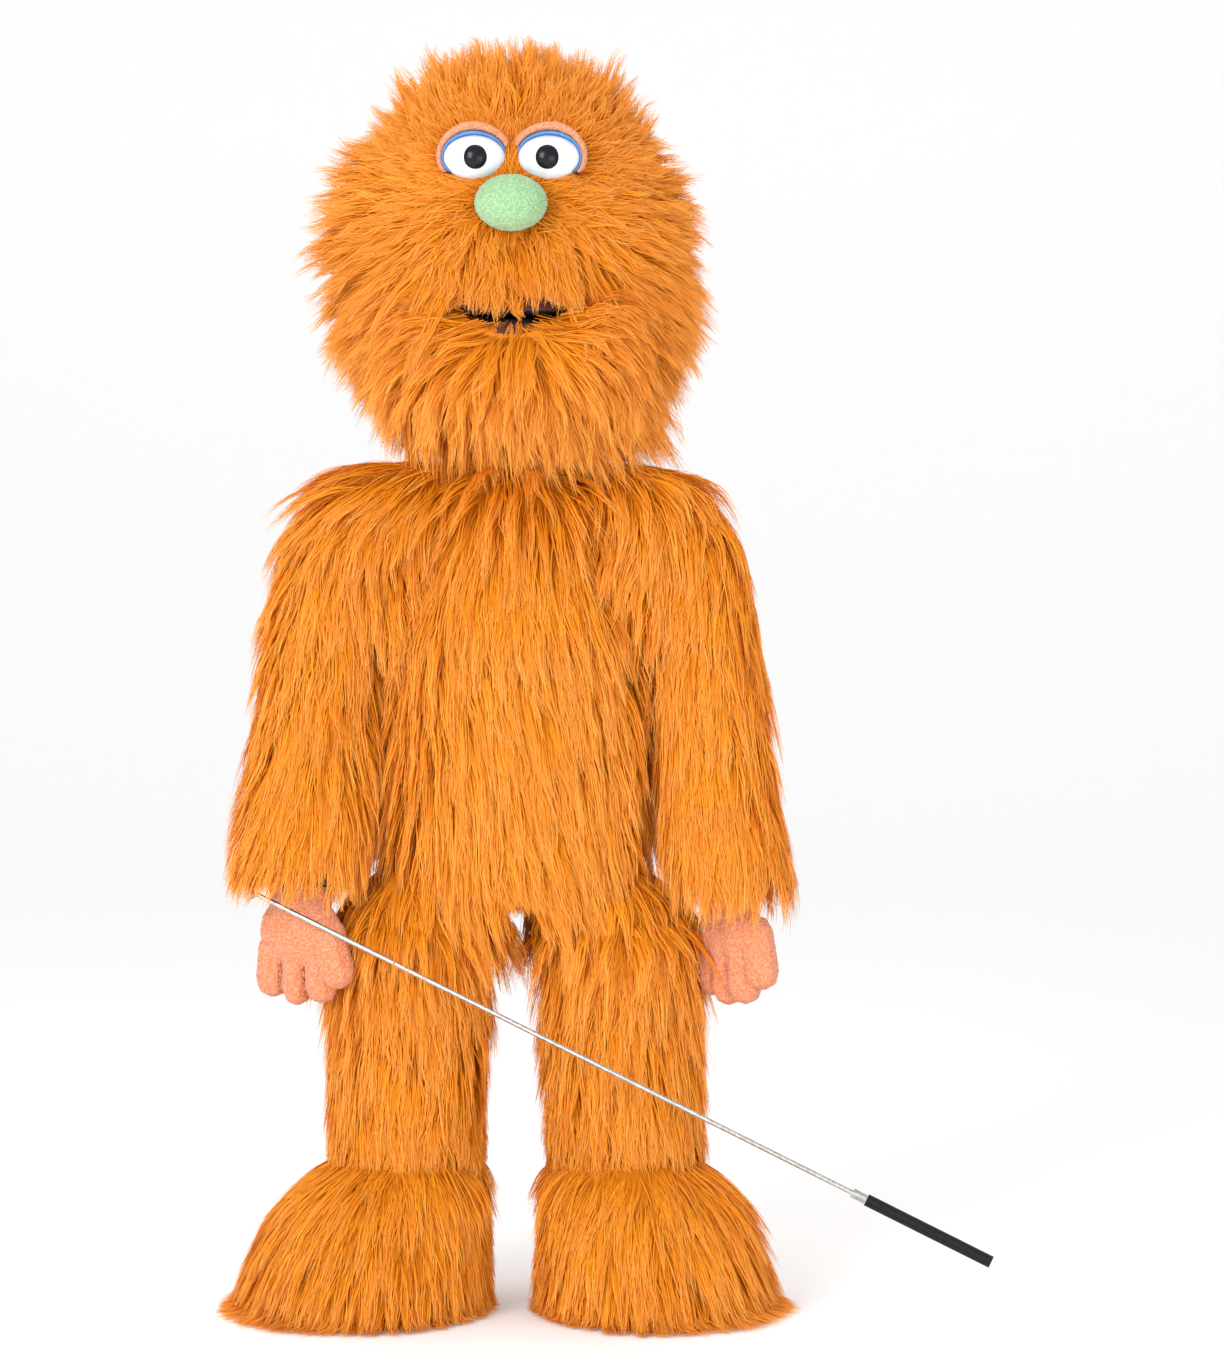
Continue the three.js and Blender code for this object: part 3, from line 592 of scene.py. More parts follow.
for side, leg in ((-1, "right"), (1, "left")):
    def leg_flow(points, side=side):
        """Leg pile hangs down, leaning a little."""
        x, z = points[:, 0], points[:, 2]
        bulge = (x - side * 65) / 46 * 0.06
        lean = bulge + 0.15 * ripple(points, 70, 45 + side) + 0.06 * ripple(points, 26, 55)
        flare = (points[:, 1] - 5) / 44 * 0.06
        return np.stack([lean, flare + 0.1 * ripple(points, 60, 65), -np.ones(len(x))], -1)

    def leg_length(roots, side=side):
        """The pile ends just below the ankle seam."""
        inner = 1 - blend_in(roots[:, 0] * side, 26, 44)
        ragged = HEM_END - 3 + 12 * ripple(roots, 13, 57)
        return np.clip(roots[:, 2] - ragged, 11, 58 - 14 * inner * (1 - blend_in(roots[:, 2], 140, 180)))

    def leg_lift(roots, side=side):
        """Fuller at the inside of the thigh, where the legs nearly meet."""
        inner = 1 - blend_in(roots[:, 0] * side, 30, 50)
        return 13 + 4 * inner * blend_in(roots[:, 2], 150, 190)

    def hip_length(roots, side=side):
        """Short between the thighs, so that daylight shows below the crotch."""
        return 50 - 28 * (1 - blend_in(roots[:, 0] * side, 26, 46))

    leg_rows = smooth_rows(mirrored(LEG_SKIN, side))
    hip_rows = smooth_rows(mirrored(HIP_SKIN, side))
    hip_fur = fur_piece(leg + "_hip_fur", hip_rows, 61 + side, 300, hip_length, 13, leg_flow, turns=64)
    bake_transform(hip_fur)
    knee_fur = fur_piece(leg + "_knee_fur", leg_rows, 71 + side, 480, leg_length, leg_lift, leg_flow,
                         lambda p: p[:, 2] > KNEE_CUT, turns=64)
    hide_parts(leg + "_thigh_fur", leg + "_thigh_filling")
    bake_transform(knee_fur)
    ankle_fur = fur_piece(leg + "_ankle_fur", leg_rows, 81 + side, 320, leg_length, 15, leg_flow,
                          lambda p: p[:, 2] <= KNEE_CUT, turns=64)
    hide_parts(leg + "_shin_fur", leg + "_shin_filling")
    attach(ankle_fur, leg + "_shin")


# ---- Feet ----
# Big rounded fur slippers over foam, sewn to the legs at the ankle. The pile combs out from
# the ankle over the top of the foot and down to a flat dark sole.

FOOT_SKIN = {
    "right": [[1.5, 86, -14, 66, 76], [10, 86, -14, 67, 78], [34, 85, -13, 66, 77], [54, 81, -8, 61, 69],
              [70, 76, -3, 54, 58], [82, 69, 2, 45, 47], [90, 66, 5, 38, 37], [95, 65, 5, 30, 28]],
    "left": [[1.5, 80, -14, 62, 76], [10, 80, -14, 63, 78], [34, 80, -13, 63, 77], [54, 78, -8, 59, 69],
             [70, 74, -3, 54, 58], [82, 68, 2, 45, 47], [90, 65, 5, 38, 37], [95, 65, 5, 30, 28]]}
for side, leg in ((-1, "right"), (1, "left")):
    def foot_flow(points, side=side):
        """Foot pile combs outward from the ankle and down to the floor."""
        x, y, z = points[:, 0], points[:, 1], points[:, 2]
        away = unit(np.stack([x - side * 70, y + 2, np.zeros(len(x))], -1))
        away = away * (1 - 0.6 * blend_in(74 - side * x, 0, 40))[:, None]
        drop = 0.8 + 1.1 * blend_in(84 - z, 0, 40) - 1.0 * blend_in(16 - z, 0, 12)
        swirl = 0.2 * ripple(points, 70, 75 + side)
        return away + np.stack([-away[:, 1] * swirl, away[:, 0] * swirl, -drop], -1)

    def foot_length(roots, side=side):
        """Longest at the outer front, short next to the other foot."""
        inner = 1 - blend_in(roots[:, 0] * side, 20, 50)
        outer = blend_in(-roots[:, 0], 110, 150)
        return 52 - 16 * inner + 8 * outer

    foot_rows = smooth_rows(mirrored(FOOT_SKIN[leg], side))
    foot_fur = fur_piece(leg + "_foot_fur_pile", foot_rows, 91 + side, 840, foot_length, 4, foot_flow,
                         spread=9, height=6, floor=1.0, stiff=0.1, wave=1.4)
    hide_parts(leg + "_foot_fur")
    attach(foot_fur, leg + "_shin")


# ---- Head fur ----
# The head is a foam dome covered in the same fur, combed outward from the face: up over the
# crown, out over the cheeks, and straight down under the nose as a moustache over the mouth.

HEAD_SKIN = smooth_rows([
    [544, 0, 26, 38, 38], [548, 0, 18, 54, 50], [560, 0, 12, 69, 63], [580, 0, 2, 82, 78],
    [610, 0, -2, 88, 82], [645, 0, -2, 88, 83], [680, 0, -1, 78, 75], [702, 0, 0, 60, 58],
    [715, 0, 0, 42, 41], [722, 0, 0, 22, 22], [724, 0, 0, 8, 8]])
HINGE_Y = -10
HINGE_Z = 592
FACE = (0, -88, 660)
EYE_X = 21.5
EYE_Z = 680
NOSE_Z = 652.5


def face_gap(points):
    """How near a place is to the edge of an eye or the nose, in millimetres."""
    x, z = np.abs(points[:, 0]), points[:, 2]
    eye = (np.hypot((x - EYE_X - 1) / 21.5, (z - EYE_Z - 1.5) / 18.5) - 1) * 19
    nose = (np.hypot(x / 20, (z - NOSE_Z) / 15) - 1) * 17
    return np.where(points[:, 1] < -20, np.minimum(eye, nose), 60)


def near_face(points):
    """No pile under the eyes and nose, a denser pile round them and at the crown's parting."""
    gap = face_gap(points)
    parting = blend_in(points[:, 1], -5, 15) * blend_in(points[:, 2], 685, 705)
    return (gap > -2) * (1 + 2.5 * (1 - blend_in(gap, 2, 26)) + 1.6 * parting)


def head_flow(points):
    """Head pile combs away from the face, and hangs down at the back and under the nose."""
    x, y, z = points[:, 0], points[:, 1], points[:, 2]
    away = unit(points - np.array(FACE))
    away[:, 2] += 0.5 * blend_in(z, 684, 720) - 0.3 * blend_in(645 - z, -20, 60)
    back = blend_in(y, 10, 60)[:, None]
    over = blend_in(z, 665, 722)
    hang = np.stack([x / 90 * 0.4, 0.3 + 0.7 * over, -1 + 1.1 * over], -1)
    flow = away * (1 - back) + hang * back
    lip = (blend_in(50 - np.abs(x), 0, 24) * blend_in(-y, 30, 60) * blend_in(646 - z, 0, 14))[:, None]
    down = np.stack([x * 0.006, -0.12 * np.ones(len(x)), -np.ones(len(x))], -1)
    flow = flow * (1 - lip) + down * lip
    swirl = 0.16 * ripple(points, 70, 85) + 0.1 * ripple(points, 26, 86)
    return flow + np.stack([swirl, 0 * swirl, 0.12 * ripple(points, 40, 87)], -1)


def head_length(roots):
    """Short round the eyes and nose, 50 mm elsewhere, and the moustache ends over the mouth."""
    x, y, z = roots[:, 0], roots[:, 1], roots[:, 2]
    near = blend_in(face_gap(roots), -2, 32)
    full = 15 + (39 - 11 * blend_in(x, 30, 80) * blend_in(z, 590, 640)) * near
    full = full + 14 * blend_in(y, 0, 30) * blend_in(610 - z, 0, 40)
    lip = blend_in(46 - np.abs(x), 0, 14) * blend_in(-y, 30, 60) * blend_in(650 - z, 0, 10)
    ragged = 590 + 8 * ripple(roots, 9, 88) + 0.1 * np.abs(x)
    to_lip = np.clip(z - ragged, 7, 44)
    return full * (1 - lip) + np.minimum(full, to_lip) * lip


def head_lift(roots):
    """Flat on the face, standing up on the crown and sides."""
    x, y, z = roots[:, 0], roots[:, 1], roots[:, 2]
    side = blend_in(np.abs(x), 40, 84) * (1 - 0.4 * blend_in(x, 20, 80))
    crown = blend_in(z, 685, 716)
    back = blend_in(y, 20, 60)
    lift = 14 + 16 * side + 30 * crown
    return lift * (1 - 0.45 * back)


def lip_arch(x):
    """How much higher the upper lip is cut over the middle of the mouth."""
    return 6.0 * (1 - blend_in(np.abs(x), 26, 48))


def on_head(points):
    """The head's part of the dome: all but the lower jaw."""
    return ~((points[:, 1] < HINGE_Y) & (points[:, 2] < HINGE_Z + 2.5 + lip_arch(points[:, 0])))


def in_cheek(points):
    """The strip above the corners of the mouth, which stretches as the mouth opens."""
    return (points[:, 1] < 14) & (points[:, 2] < 624) & (np.abs(points[:, 0]) > 34)


head_parts = {
    "face_fur": (lambda p: on_head(p) & ~in_cheek(p) & (p[:, 1] < -20) & (p[:, 2] <= 690), 860),
    "brow_fur": (lambda p: on_head(p) & (p[:, 1] < -20) & (p[:, 2] > 690), 420),
    "crown_fur": (lambda p: on_head(p) & ~in_cheek(p) & (p[:, 1] >= -20) & (p[:, 2] > 655), 700),
    "nape_fur": (lambda p: on_head(p) & ~in_cheek(p) & (p[:, 1] >= -20) & (p[:, 2] <= 655), 760),
}
# The head's pile is set darker than the body's, as painted shade for the deep shadows between its looser
# locks.
for number, (part, (where, locks)) in enumerate(head_parts.items()):
    head_fur = fur_piece(part, HEAD_SKIN, 101 + number, locks, head_length, head_lift, head_flow,
                         where, near_face, height=9, spread=8, gather=0.86, stiff=0.6, wave=3.0,
                         tone_with_painted_shade=0.26)
    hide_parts("head_fur")
    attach(head_fur, "head")

for side, name in ((-1, "right"), (1, "left")):
    def cheek(points, side=side):
        return on_head(points) & in_cheek(points) & (points[:, 0] * side > 0)

    # The cheeks' pile is set darker too, as painted shade.
    cheek_fur = fur_piece(name + "_cheek_fur", HEAD_SKIN, 111 + side, 330, 54, 24, head_flow, cheek,
                          height=11, spread=8, stiff=0.55, tone_with_painted_shade=0.28)
    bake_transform(cheek_fur)


# ---- Jaw fur ----
# The lower jaw is a separate foam scoop that the thumb works. Its fur starts at the lower lip
# and falls forward and outward in long wavy locks, like a beard over the chest.

JAW_DROP = math.radians(8.5)


def dropped(points, back=False):
    """Turns places round the mouth hinge by the angle at which the mouth rests open."""
    angle = -JAW_DROP if back else JAW_DROP
    y, z = points[:, 1] - HINGE_Y, points[:, 2] - HINGE_Z
    return np.stack([points[:, 0], HINGE_Y + y * math.cos(angle) - z * math.sin(angle),
                     HINGE_Z + y * math.sin(angle) + z * math.cos(angle)], -1)


def lip_smile(x):
    """How far the lower lip is puffed up towards the corners of the mouth."""
    return (11 * blend_in(np.abs(x), 4, 38) - 2.5) * (1 - blend_in(np.abs(x), 50, 76))


def smiling(points, back=False):
    """The jaw at rest, with its lip curved up at both ends."""
    if back:
        points = dropped(points, back=True)
    x, y, z = points[:, 0], points[:, 1], points[:, 2]
    outer = blend_in(np.hypot(x / 84, (y + 1) / 80), 0.84, 0.96)
    rise = lip_smile(x) * outer * blend_in(z, 566, HINGE_Z) * blend_in(-y, 10, 40)
    moved = np.stack([0 * x, 0 * x, rise], -1)
    return points - moved if back else dropped(points + moved)


JAW_SKIN = np.vstack([HEAD_SKIN[HEAD_SKIN[:, 0] < HINGE_Z - 6], [HINGE_Z - 3, 0, -1, 84, 80],
                      [HINGE_Z - 0.6, 0, -1, 80, 78], [HINGE_Z, 0, -1, 72, 77], [HINGE_Z, 0, -1, 54, 76]])


def jaw_flow(points):
    """Beard pile parts below the lip and falls down and outward in waves, then in to the neck."""
    x, y, z = points[:, 0], points[:, 1], points[:, 2]
    wide = np.abs(x)
    lip = blend_in(z, 556, 582) * (1 - blend_in(wide, 40, 68))
    fall = blend_in(560 - z, 0, 30)
    parted = np.sign(x) * blend_in(wide, 0, 22) * 1.3
    lean = x / 70 * (0.55 - 0.4 * fall) * (1 - lip) + parted * lip
    lean = lean + 0.3 * ripple(points, 60, 95) + 0.1 * ripple(points, 28, 96)
    forward = -0.25 * blend_in(-y, 20, 70) * (1 - fall) + 0.12 * ripple(points, 40, 97)
    curl = 0.7 * blend_in(wide, 4, 22) + 0.75 * blend_in(wide, 18, 36) * blend_in(z, 574, 588)
    return np.stack([lean, forward, lip * curl - 0.95], -1)


def on_jaw(points):
    """The front half of the scoop."""
    return dropped(points, back=True)[:, 1] < HINGE_Y - 2


def jaw_length(roots):
    """Shorter at the lip and long under the chin, to hide the neck."""
    z = roots[:, 2]
    return 56 - 12 * blend_in(z, 570, 584) + 18 * blend_in(566 - z, 0, 14)


def jaw_lift(roots):
    """Low at the middle of the lip, so the mouth stays open, and puffed out at its ends."""
    x, z = np.abs(roots[:, 0]), roots[:, 2]
    lip = blend_in(z, 568, 584)
    puffed = blend_in(x, 18, 42) * (1 - blend_in(x, 56, 72))
    return 22 - 12 * lip * (1 - blend_in(x, 12, 34)) + 14 * lip * puffed


def below_lip(roots):
    """No pile on the flat of the lip, next to the lining."""
    level = dropped(roots, back=True)
    return level[:, 2] < HINGE_Z - 0.8 + 0.9 * lip_smile(roots[:, 0])


# The beard's pile is set a little darker than the body's, as painted shade.
jaw_fur = fur_piece("jaw_fur_pile", JAW_SKIN, 121, 860, jaw_length, jaw_lift, jaw_flow, on_jaw,
                    below_lip, height=9, spread=8, wave=4, place=smiling, stiff=0.5,
                    tone_with_painted_shade=0.44)
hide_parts("jaw_fur")
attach(jaw_fur, "jaw")


# ---- Foam inside the head, jaw and body ----
# Soft yellowish reticulated foam, cut and glued into a hollow dome, a jaw scoop and a body
# shell. It shows only through the hand opening and between the lips.


def give_material(mesh, material):
    """Makes this the mesh's only material."""
    mesh.materials.clear()
    mesh.materials.append(material)


def fuzz(count, seed, height):
    """Random small heights, one for each point, in metres."""
    return np.random.default_rng(seed).normal(0, height * MM, count)


def read_points(mesh):
    """The mesh's points and the outward directions at them."""
    places, normals = np.empty(len(mesh.vertices) * 3), np.empty(len(mesh.vertices) * 3)
    mesh.vertices.foreach_get("co", places)
    mesh.vertex_normals.foreach_get("vector", normals)
    return places.reshape(-1, 3), normals.reshape(-1, 3)


def push_out(mesh, distance):
    """Moves each point of a mesh outward by its own distance, in metres."""
    places, normals = read_points(mesh)
    mesh.vertices.foreach_set("co", (places + normals * distance[:, None]).ravel())
    mesh.update()


def soft_copy(name, node, body, material, voxel, relax, swell, rough, seed):
    """Turns the solid of a soft piece into its real soft form: even fine mesh, rounded edges,
    swollen or shrunk by some millimetres, with a rough face."""
    piece = bpy.data.objects.new(name, frame["nodes"][node].data.copy())
    bpy.context.scene.collection.objects.link(piece)
    even = piece.modifiers.new("even", "REMESH")
    even.mode = "VOXEL"
    even.voxel_size = voxel * MM
    even.use_smooth_shade = True
    soften = piece.modifiers.new("soften", "SMOOTH")
    soften.iterations = relax
    ready = piece.evaluated_get(bpy.context.evaluated_depsgraph_get())
    mesh = bpy.data.meshes.new_from_object(ready)
    piece.modifiers.clear()
    piece.data = mesh
    push_out(mesh, swell * MM + fuzz(len(mesh.vertices), seed, rough))
    mesh.polygons.foreach_set("use_smooth", np.ones(len(mesh.polygons), bool))
    give_material(mesh, material)
    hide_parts(node)
    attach(piece, body)
    return piece


def surface_coordinates(tree, scale):
    """The place on the piece itself, scaled, for patterns that stay with it."""
    places = tree.nodes.new("ShaderNodeTexCoord")
    scaled = tree.nodes.new("ShaderNodeVectorMath")
    scaled.operation = "SCALE"
    scaled.inputs["Scale"].default_value = scale
    tree.links.new(places.outputs["Object"], scaled.inputs[0])
    return scaled.outputs[0]


def two_colours(tree, mask, dark, light, low=0.0, high=1.0):
    """A ramp from a dark to a light colour."""
    ramp = tree.nodes.new("ShaderNodeValToRGB")
    ramp.color_ramp.elements[0].position = low
    ramp.color_ramp.elements[0].color = (*dark, 1)
    ramp.color_ramp.elements[1].position = high
    ramp.color_ramp.elements[1].color = (*light, 1)
    tree.links.new(mask, ramp.inputs["Fac"])
    return ramp.outputs["Color"]


def add_bump(tree, shader, height, strength, depth):
    """A bump from a height mask; depth is in millimetres."""
    bump = tree.nodes.new("ShaderNodeBump")
    bump.inputs["Strength"].default_value = strength
    bump.inputs["Distance"].default_value = depth * MM
    tree.links.new(height, bump.inputs["Height"])
    tree.links.new(bump.outputs["Normal"], shader.inputs["Normal"])


def mottled_material(name, dark, light, grains_per_metre, roughness, metallic=0.0, low=0.3, high=0.7,
                     detail=6, ragged=0.5, bump=(0.3, 0.2)):
    """A finish that varies between two close colours; bump is its strength and its depth."""
    middle = [(a + b) / 2 for a, b in zip(dark, light)]
    material, tree, shader = new_material(name, middle, roughness, metallic)
    noise = tree.nodes.new("ShaderNodeTexNoise")
    noise.inputs["Scale"].default_value = 1.0
    noise.inputs["Detail"].default_value = detail
    noise.inputs["Roughness"].default_value = ragged
    tree.links.new(surface_coordinates(tree, grains_per_metre), noise.inputs["Vector"])
    colour = two_colours(tree, noise.outputs["Fac"], dark, light, low, high)
    tree.links.new(colour, shader.inputs["Base Color"])
    add_bump(tree, shader, noise.outputs["Fac"], *bump)
    return material


foam, foam_tree, foam_shader = new_material("yellow_foam", (0.8, 0.68, 0.42), 0.9)
cells = foam_tree.nodes.new("ShaderNodeTexVoronoi")
cells.inputs["Scale"].default_value = 1.0
foam_tree.links.new(surface_coordinates(foam_tree, 520), cells.inputs["Vector"])
foam_colour = two_colours(foam_tree, cells.outputs["Distance"], (0.5, 0.38, 0.2), (0.85, 0.73, 0.47),
                          high=0.6)
foam_tree.links.new(foam_colour, foam_shader.inputs["Base Color"])
add_bump(foam_tree, foam_shader, cells.outputs["Distance"], 0.7, 0.8)

foam_pieces = {
    "body_foam_shell": ("torso_foam", "torso", 2.6, -0.9),
    "head_foam_dome": ("head_foam", "head", 2.6, -3.0),
    "jaw_foam_scoop": ("jaw_foam", "jaw", 2.2, -0.9),
    "right_foot_block": ("right_foot_foam", "right_shin", 3.2, -2.0),
    "left_foot_block": ("left_foot_foam", "left_shin", 3.2, -2.0)}
for number, (name, (node, body, voxel, swell)) in enumerate(foam_pieces.items()):
    foam_piece = soft_copy(name, node, body, foam, voxel, 3, swell, 0.12, 201 + number)


# ---- Mouth ----
# Two boards, covered with maroon cloth on the faces that show and hinged by a strip of cloth
# tape. Pockets of dark cloth on their backs take the fingers and the thumb.


def pattern_group(name, first, second, per_metre):
    """An empty node group for a cloth's pattern, with its two colours and its scale as inputs.
    Returns the group, its input and output nodes, and the scaled place on the piece."""
    group = bpy.data.node_groups.new(name, "ShaderNodeTree")
    group.interface.new_socket(first, in_out="INPUT", socket_type="NodeSocketColor")
    group.interface.new_socket(second, in_out="INPUT", socket_type="NodeSocketColor")
    group.interface.new_socket(per_metre, in_out="INPUT", socket_type="NodeSocketFloat")
    group.interface.new_socket("Colour", in_out="OUTPUT", socket_type="NodeSocketColor")
    group.interface.new_socket("Height", in_out="OUTPUT", socket_type="NodeSocketFloat")
    taken = group.nodes.new("NodeGroupInput")
    given = group.nodes.new("NodeGroupOutput")
    places = group.nodes.new("ShaderNodeTexCoord")
    scaled = group.nodes.new("ShaderNodeVectorMath")
    scaled.operation = "SCALE"
    group.links.new(places.outputs["Object"], scaled.inputs[0])
    group.links.new(taken.outputs[per_metre], scaled.inputs["Scale"])
    return group, taken, given, scaled.outputs[0]


def joined(group, operation, first, second):
    """Two masks of a group, multiplied or otherwise joined into one."""
    both = group.nodes.new("ShaderNodeMath")
    both.operation = operation
    group.links.new(first, both.inputs[0])
    group.links.new(second, both.inputs[1])
    return both.outputs[0]


def finish_pattern(group, taken, given, mask, height):
    """Gives the group's second colour where the mask is 0 and its first where it is 1."""
    mix = group.nodes.new("ShaderNodeMix")
    mix.data_type = "RGBA"
    group.links.new(mask, mix.inputs["Factor"])
    group.links.new(taken.outputs[1], mix.inputs["A"])
    group.links.new(taken.outputs[0], mix.inputs["B"])
    group.links.new(mix.outputs["Result"], given.inputs["Colour"])
    group.links.new(height, given.inputs["Height"])


def cloth_weave_group():
    """Cloth weave: crossing threads, with their light and dark, as a colour and a height."""
    group, taken, given, place = pattern_group("cloth_weave", "Thread", "Gap", "Threads per metre")
    threads = []
    for direction in ("X", "Y", "Z"):
        wave = group.nodes.new("ShaderNodeTexWave")
        wave.bands_direction = direction
        wave.inputs["Scale"].default_value = 0.314
        wave.inputs["Distortion"].default_value = 0.6
        wave.inputs["Detail Scale"].default_value = 1.5
        group.links.new(place, wave.inputs["Vector"])
        threads.append(wave.outputs["Fac"])
    crossing = joined(group, "MULTIPLY", threads[0], threads[1])
    weave = joined(group, "MAXIMUM", crossing, threads[2])
    finish_pattern(group, taken, given, weave, weave)
    return group


cloth_weave = cloth_weave_group()


def patterned_material(name, group, colours, per_metre, roughness, bump, sheen):
    """A cloth whose pattern comes from one of the groups."""
    material, tree, shader = new_material(name, colours[0], roughness)
    pattern = tree.nodes.new("ShaderNodeGroup")
    pattern.node_tree = group
    for socket, colour in zip(pattern.inputs, colours):
        socket.default_value = (*colour, 1)
    pattern.inputs[2].default_value = per_metre
    tree.links.new(pattern.outputs["Colour"], shader.inputs["Base Color"])
    add_bump(tree, shader, pattern.outputs["Height"], *bump)
    shader.inputs["Sheen Weight"].default_value = sheen
    return material


def cloth_material(name, thread, gap, threads_per_metre, roughness):
    """A woven cloth from two colours."""
    return patterned_material(name, cloth_weave, (thread, gap), threads_per_metre, roughness,
                              (0.6, 0.4), 0.15)


maroon_cloth = cloth_material("maroon_cloth", (0.13, 0.016, 0.012), (0.05, 0.006, 0.005), 900, 0.8)
dark_cloth = cloth_material("dark_cloth", (0.035, 0.033, 0.036), (0.012, 0.011, 0.013), 900, 0.85)

for number, (node, body) in enumerate((("upper_mouth_lining", "head"), ("lower_mouth_lining", "jaw"))):
    lining = soft_copy(node + "_cloth", node, body, maroon_cloth, 0.9, 3, 0.15, 0.05, 211 + number)

mouth_pieces = {
    "mouth_hinge_strip": ("mouth_hinge_tape", "head", 0.8),
    "finger_pocket_cloth": ("finger_pocket", "head", 0.9),
    "thumb_pocket_cloth": ("thumb_pocket", "jaw", 0.8)}
for number, (name, (node, body, voxel)) in enumerate(mouth_pieces.items()):
    mouth_piece = soft_copy(name, node, body, dark_cloth, voxel, 4, 0.0, 0.06, 215 + number)

grey_board = mottled_material("grey_board", (0.3, 0.25, 0.18), (0.5, 0.43, 0.33), 260, 0.8)
for node in ("upper_mouth_board", "lower_mouth_board"):
    give_material(frame["nodes"][node].data, grey_board)

LIP_STEPS = 8
LIP_TURNS = 64
# The backing strip on the upper lip is real cloth, coloured dark orange as painted shade under the
# moustache.
lip_backing_painted_shade = cloth_material("orange_backing_painted_shade", (0.55, 0.16, 0.01), (0.35, 0.09, 0.005), 700, 0.85)


def lip_strip(name, lines, material):
    """A strip of cloth along the upper lip, through D-shaped lines: each has its half width,
    depth, centre, rise above the hinge, and how much of the lip's arch it follows."""
    points, faces = [], []
    for first, second in zip(lines, lines[1:]):
        for step in range(LIP_STEPS):
            share = step / (LIP_STEPS - 1)
            wide, deep, back, rise, arch = (a + (b - a) * share for a, b in zip(first, second))
            for i in range(LIP_TURNS + 1):
                turn = math.pi * (i / LIP_TURNS - 0.5) * 0.94
                x = wide * math.sin(turn)
                points.append(at(x, back - deep * math.cos(turn), HINGE_Z + rise + arch * lip_arch(x)))
    row = LIP_TURNS + 1
    for step in range(len(points) // row - 1):
        for i in range(LIP_TURNS):
            a = step * row + i
            faces.append((a, a + 1, a + row + 1, a + row))
    strip = mesh_object(name, points, faces, material)
    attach(strip, "head")


lip_strip("upper_lip_cloth", [(87.4, 81.6, -1, 15, 1), (87.4, 81.6, -1, 2.6, 1), (53, 78, -1, 2.6, 1)],
          lip_backing_painted_shade)
lip_strip("upper_lip_binding", [(52.4, 68.6, -12, 0.9, 0), (52.8, 69.4, -12, 2.8, 1)],
          maroon_cloth)


# ---- Nose ----
# A stuffed oval cushion of pale green looped towelling, sewn on over the middle of the face.

LOOPS_PER_METRE = 620


def terry_group():
    """Looped towelling: small loops, each with a light crown and a dark edge."""
    group, taken, given, place = pattern_group("terry_loops", "Crown", "Between", "Loops per metre")
    loops = group.nodes.new("ShaderNodeTexVoronoi")
    loops.inputs["Scale"].default_value = 1.0
    group.links.new(place, loops.inputs["Vector"])
    patches = group.nodes.new("ShaderNodeTexNoise")
    patches.inputs["Scale"].default_value = 0.16
    patches.inputs["Detail"].default_value = 3
    group.links.new(place, patches.inputs["Vector"])
    crown = group.nodes.new("ShaderNodeMapRange")
    crown.inputs["From Min"].default_value = 0.75
    crown.inputs["From Max"].default_value = 0.1
    group.links.new(loops.outputs["Distance"], crown.inputs["Value"])
    worn = group.nodes.new("ShaderNodeMapRange")
    worn.inputs["From Min"].default_value = 0.3
    worn.inputs["From Max"].default_value = 0.7
    worn.inputs["To Min"].default_value = 0.7
    group.links.new(patches.outputs["Fac"], worn.inputs["Value"])
    pale = joined(group, "MULTIPLY", crown.outputs["Result"], worn.outputs["Result"])
    finish_pattern(group, taken, given, pale, crown.outputs["Result"])
    return group


terry_loops = terry_group()


def terry_material(name, crown, between):
    """Towelling from two colours."""
    material = patterned_material(name, terry_loops, (crown, between), LOOPS_PER_METRE, 0.9,
                                  (0.8, 0.7), 0.25)
    material.node_tree.nodes["Principled BSDF"].inputs["Specular IOR Level"].default_value = 0.2
    return material


green_terry = terry_material("green_terry", (0.46, 0.7, 0.41), (0.27, 0.47, 0.23))
coral_terry = terry_material("coral_terry", (0.88, 0.42, 0.27), (0.71, 0.22, 0.09))
nose = soft_copy("nose_cushion", "nose", "head", green_terry, 0.8, 5, 0.2, 0.14, 221)


# ---- Eyes ----
# White domes with glossy black domed pupils. Each has a thin rim of blue felt over it, and a
# thicker padded lid of coral towelling over that, both open at the bottom and the inner corner.


def dome(name, centre, sizes, reach, material, rings=28, turns=72):
    """A rounded dome that faces forward; reach is how far round it goes, in degrees."""
    points = [(centre[0], centre[1] - sizes[2], centre[2])]
    faces = []
    for ring in range(1, rings + 1):
        angle = math.radians(reach) * ring / rings
        for i in range(turns):
            turn = 2 * math.pi * i / turns
            points.append((centre[0] + sizes[0] * math.sin(angle) * math.sin(turn),
                           centre[1] - sizes[2] * math.cos(angle),
                           centre[2] + sizes[1] * math.sin(angle) * math.cos(turn)))
    for i in range(turns):
        faces.append((0, 1 + i, 1 + (i + 1) % turns))
    for ring in range(rings - 1):
        for i in range(turns):
            a, b = 1 + ring * turns + i, 1 + ring * turns + (i + 1) % turns
            faces.append((a, a + turns, b + turns, b))
    faces.append(tuple(1 + (rings - 1) * turns + i for i in range(turns)))
    return mesh_object(name, [at(*p) for p in points], faces, material)


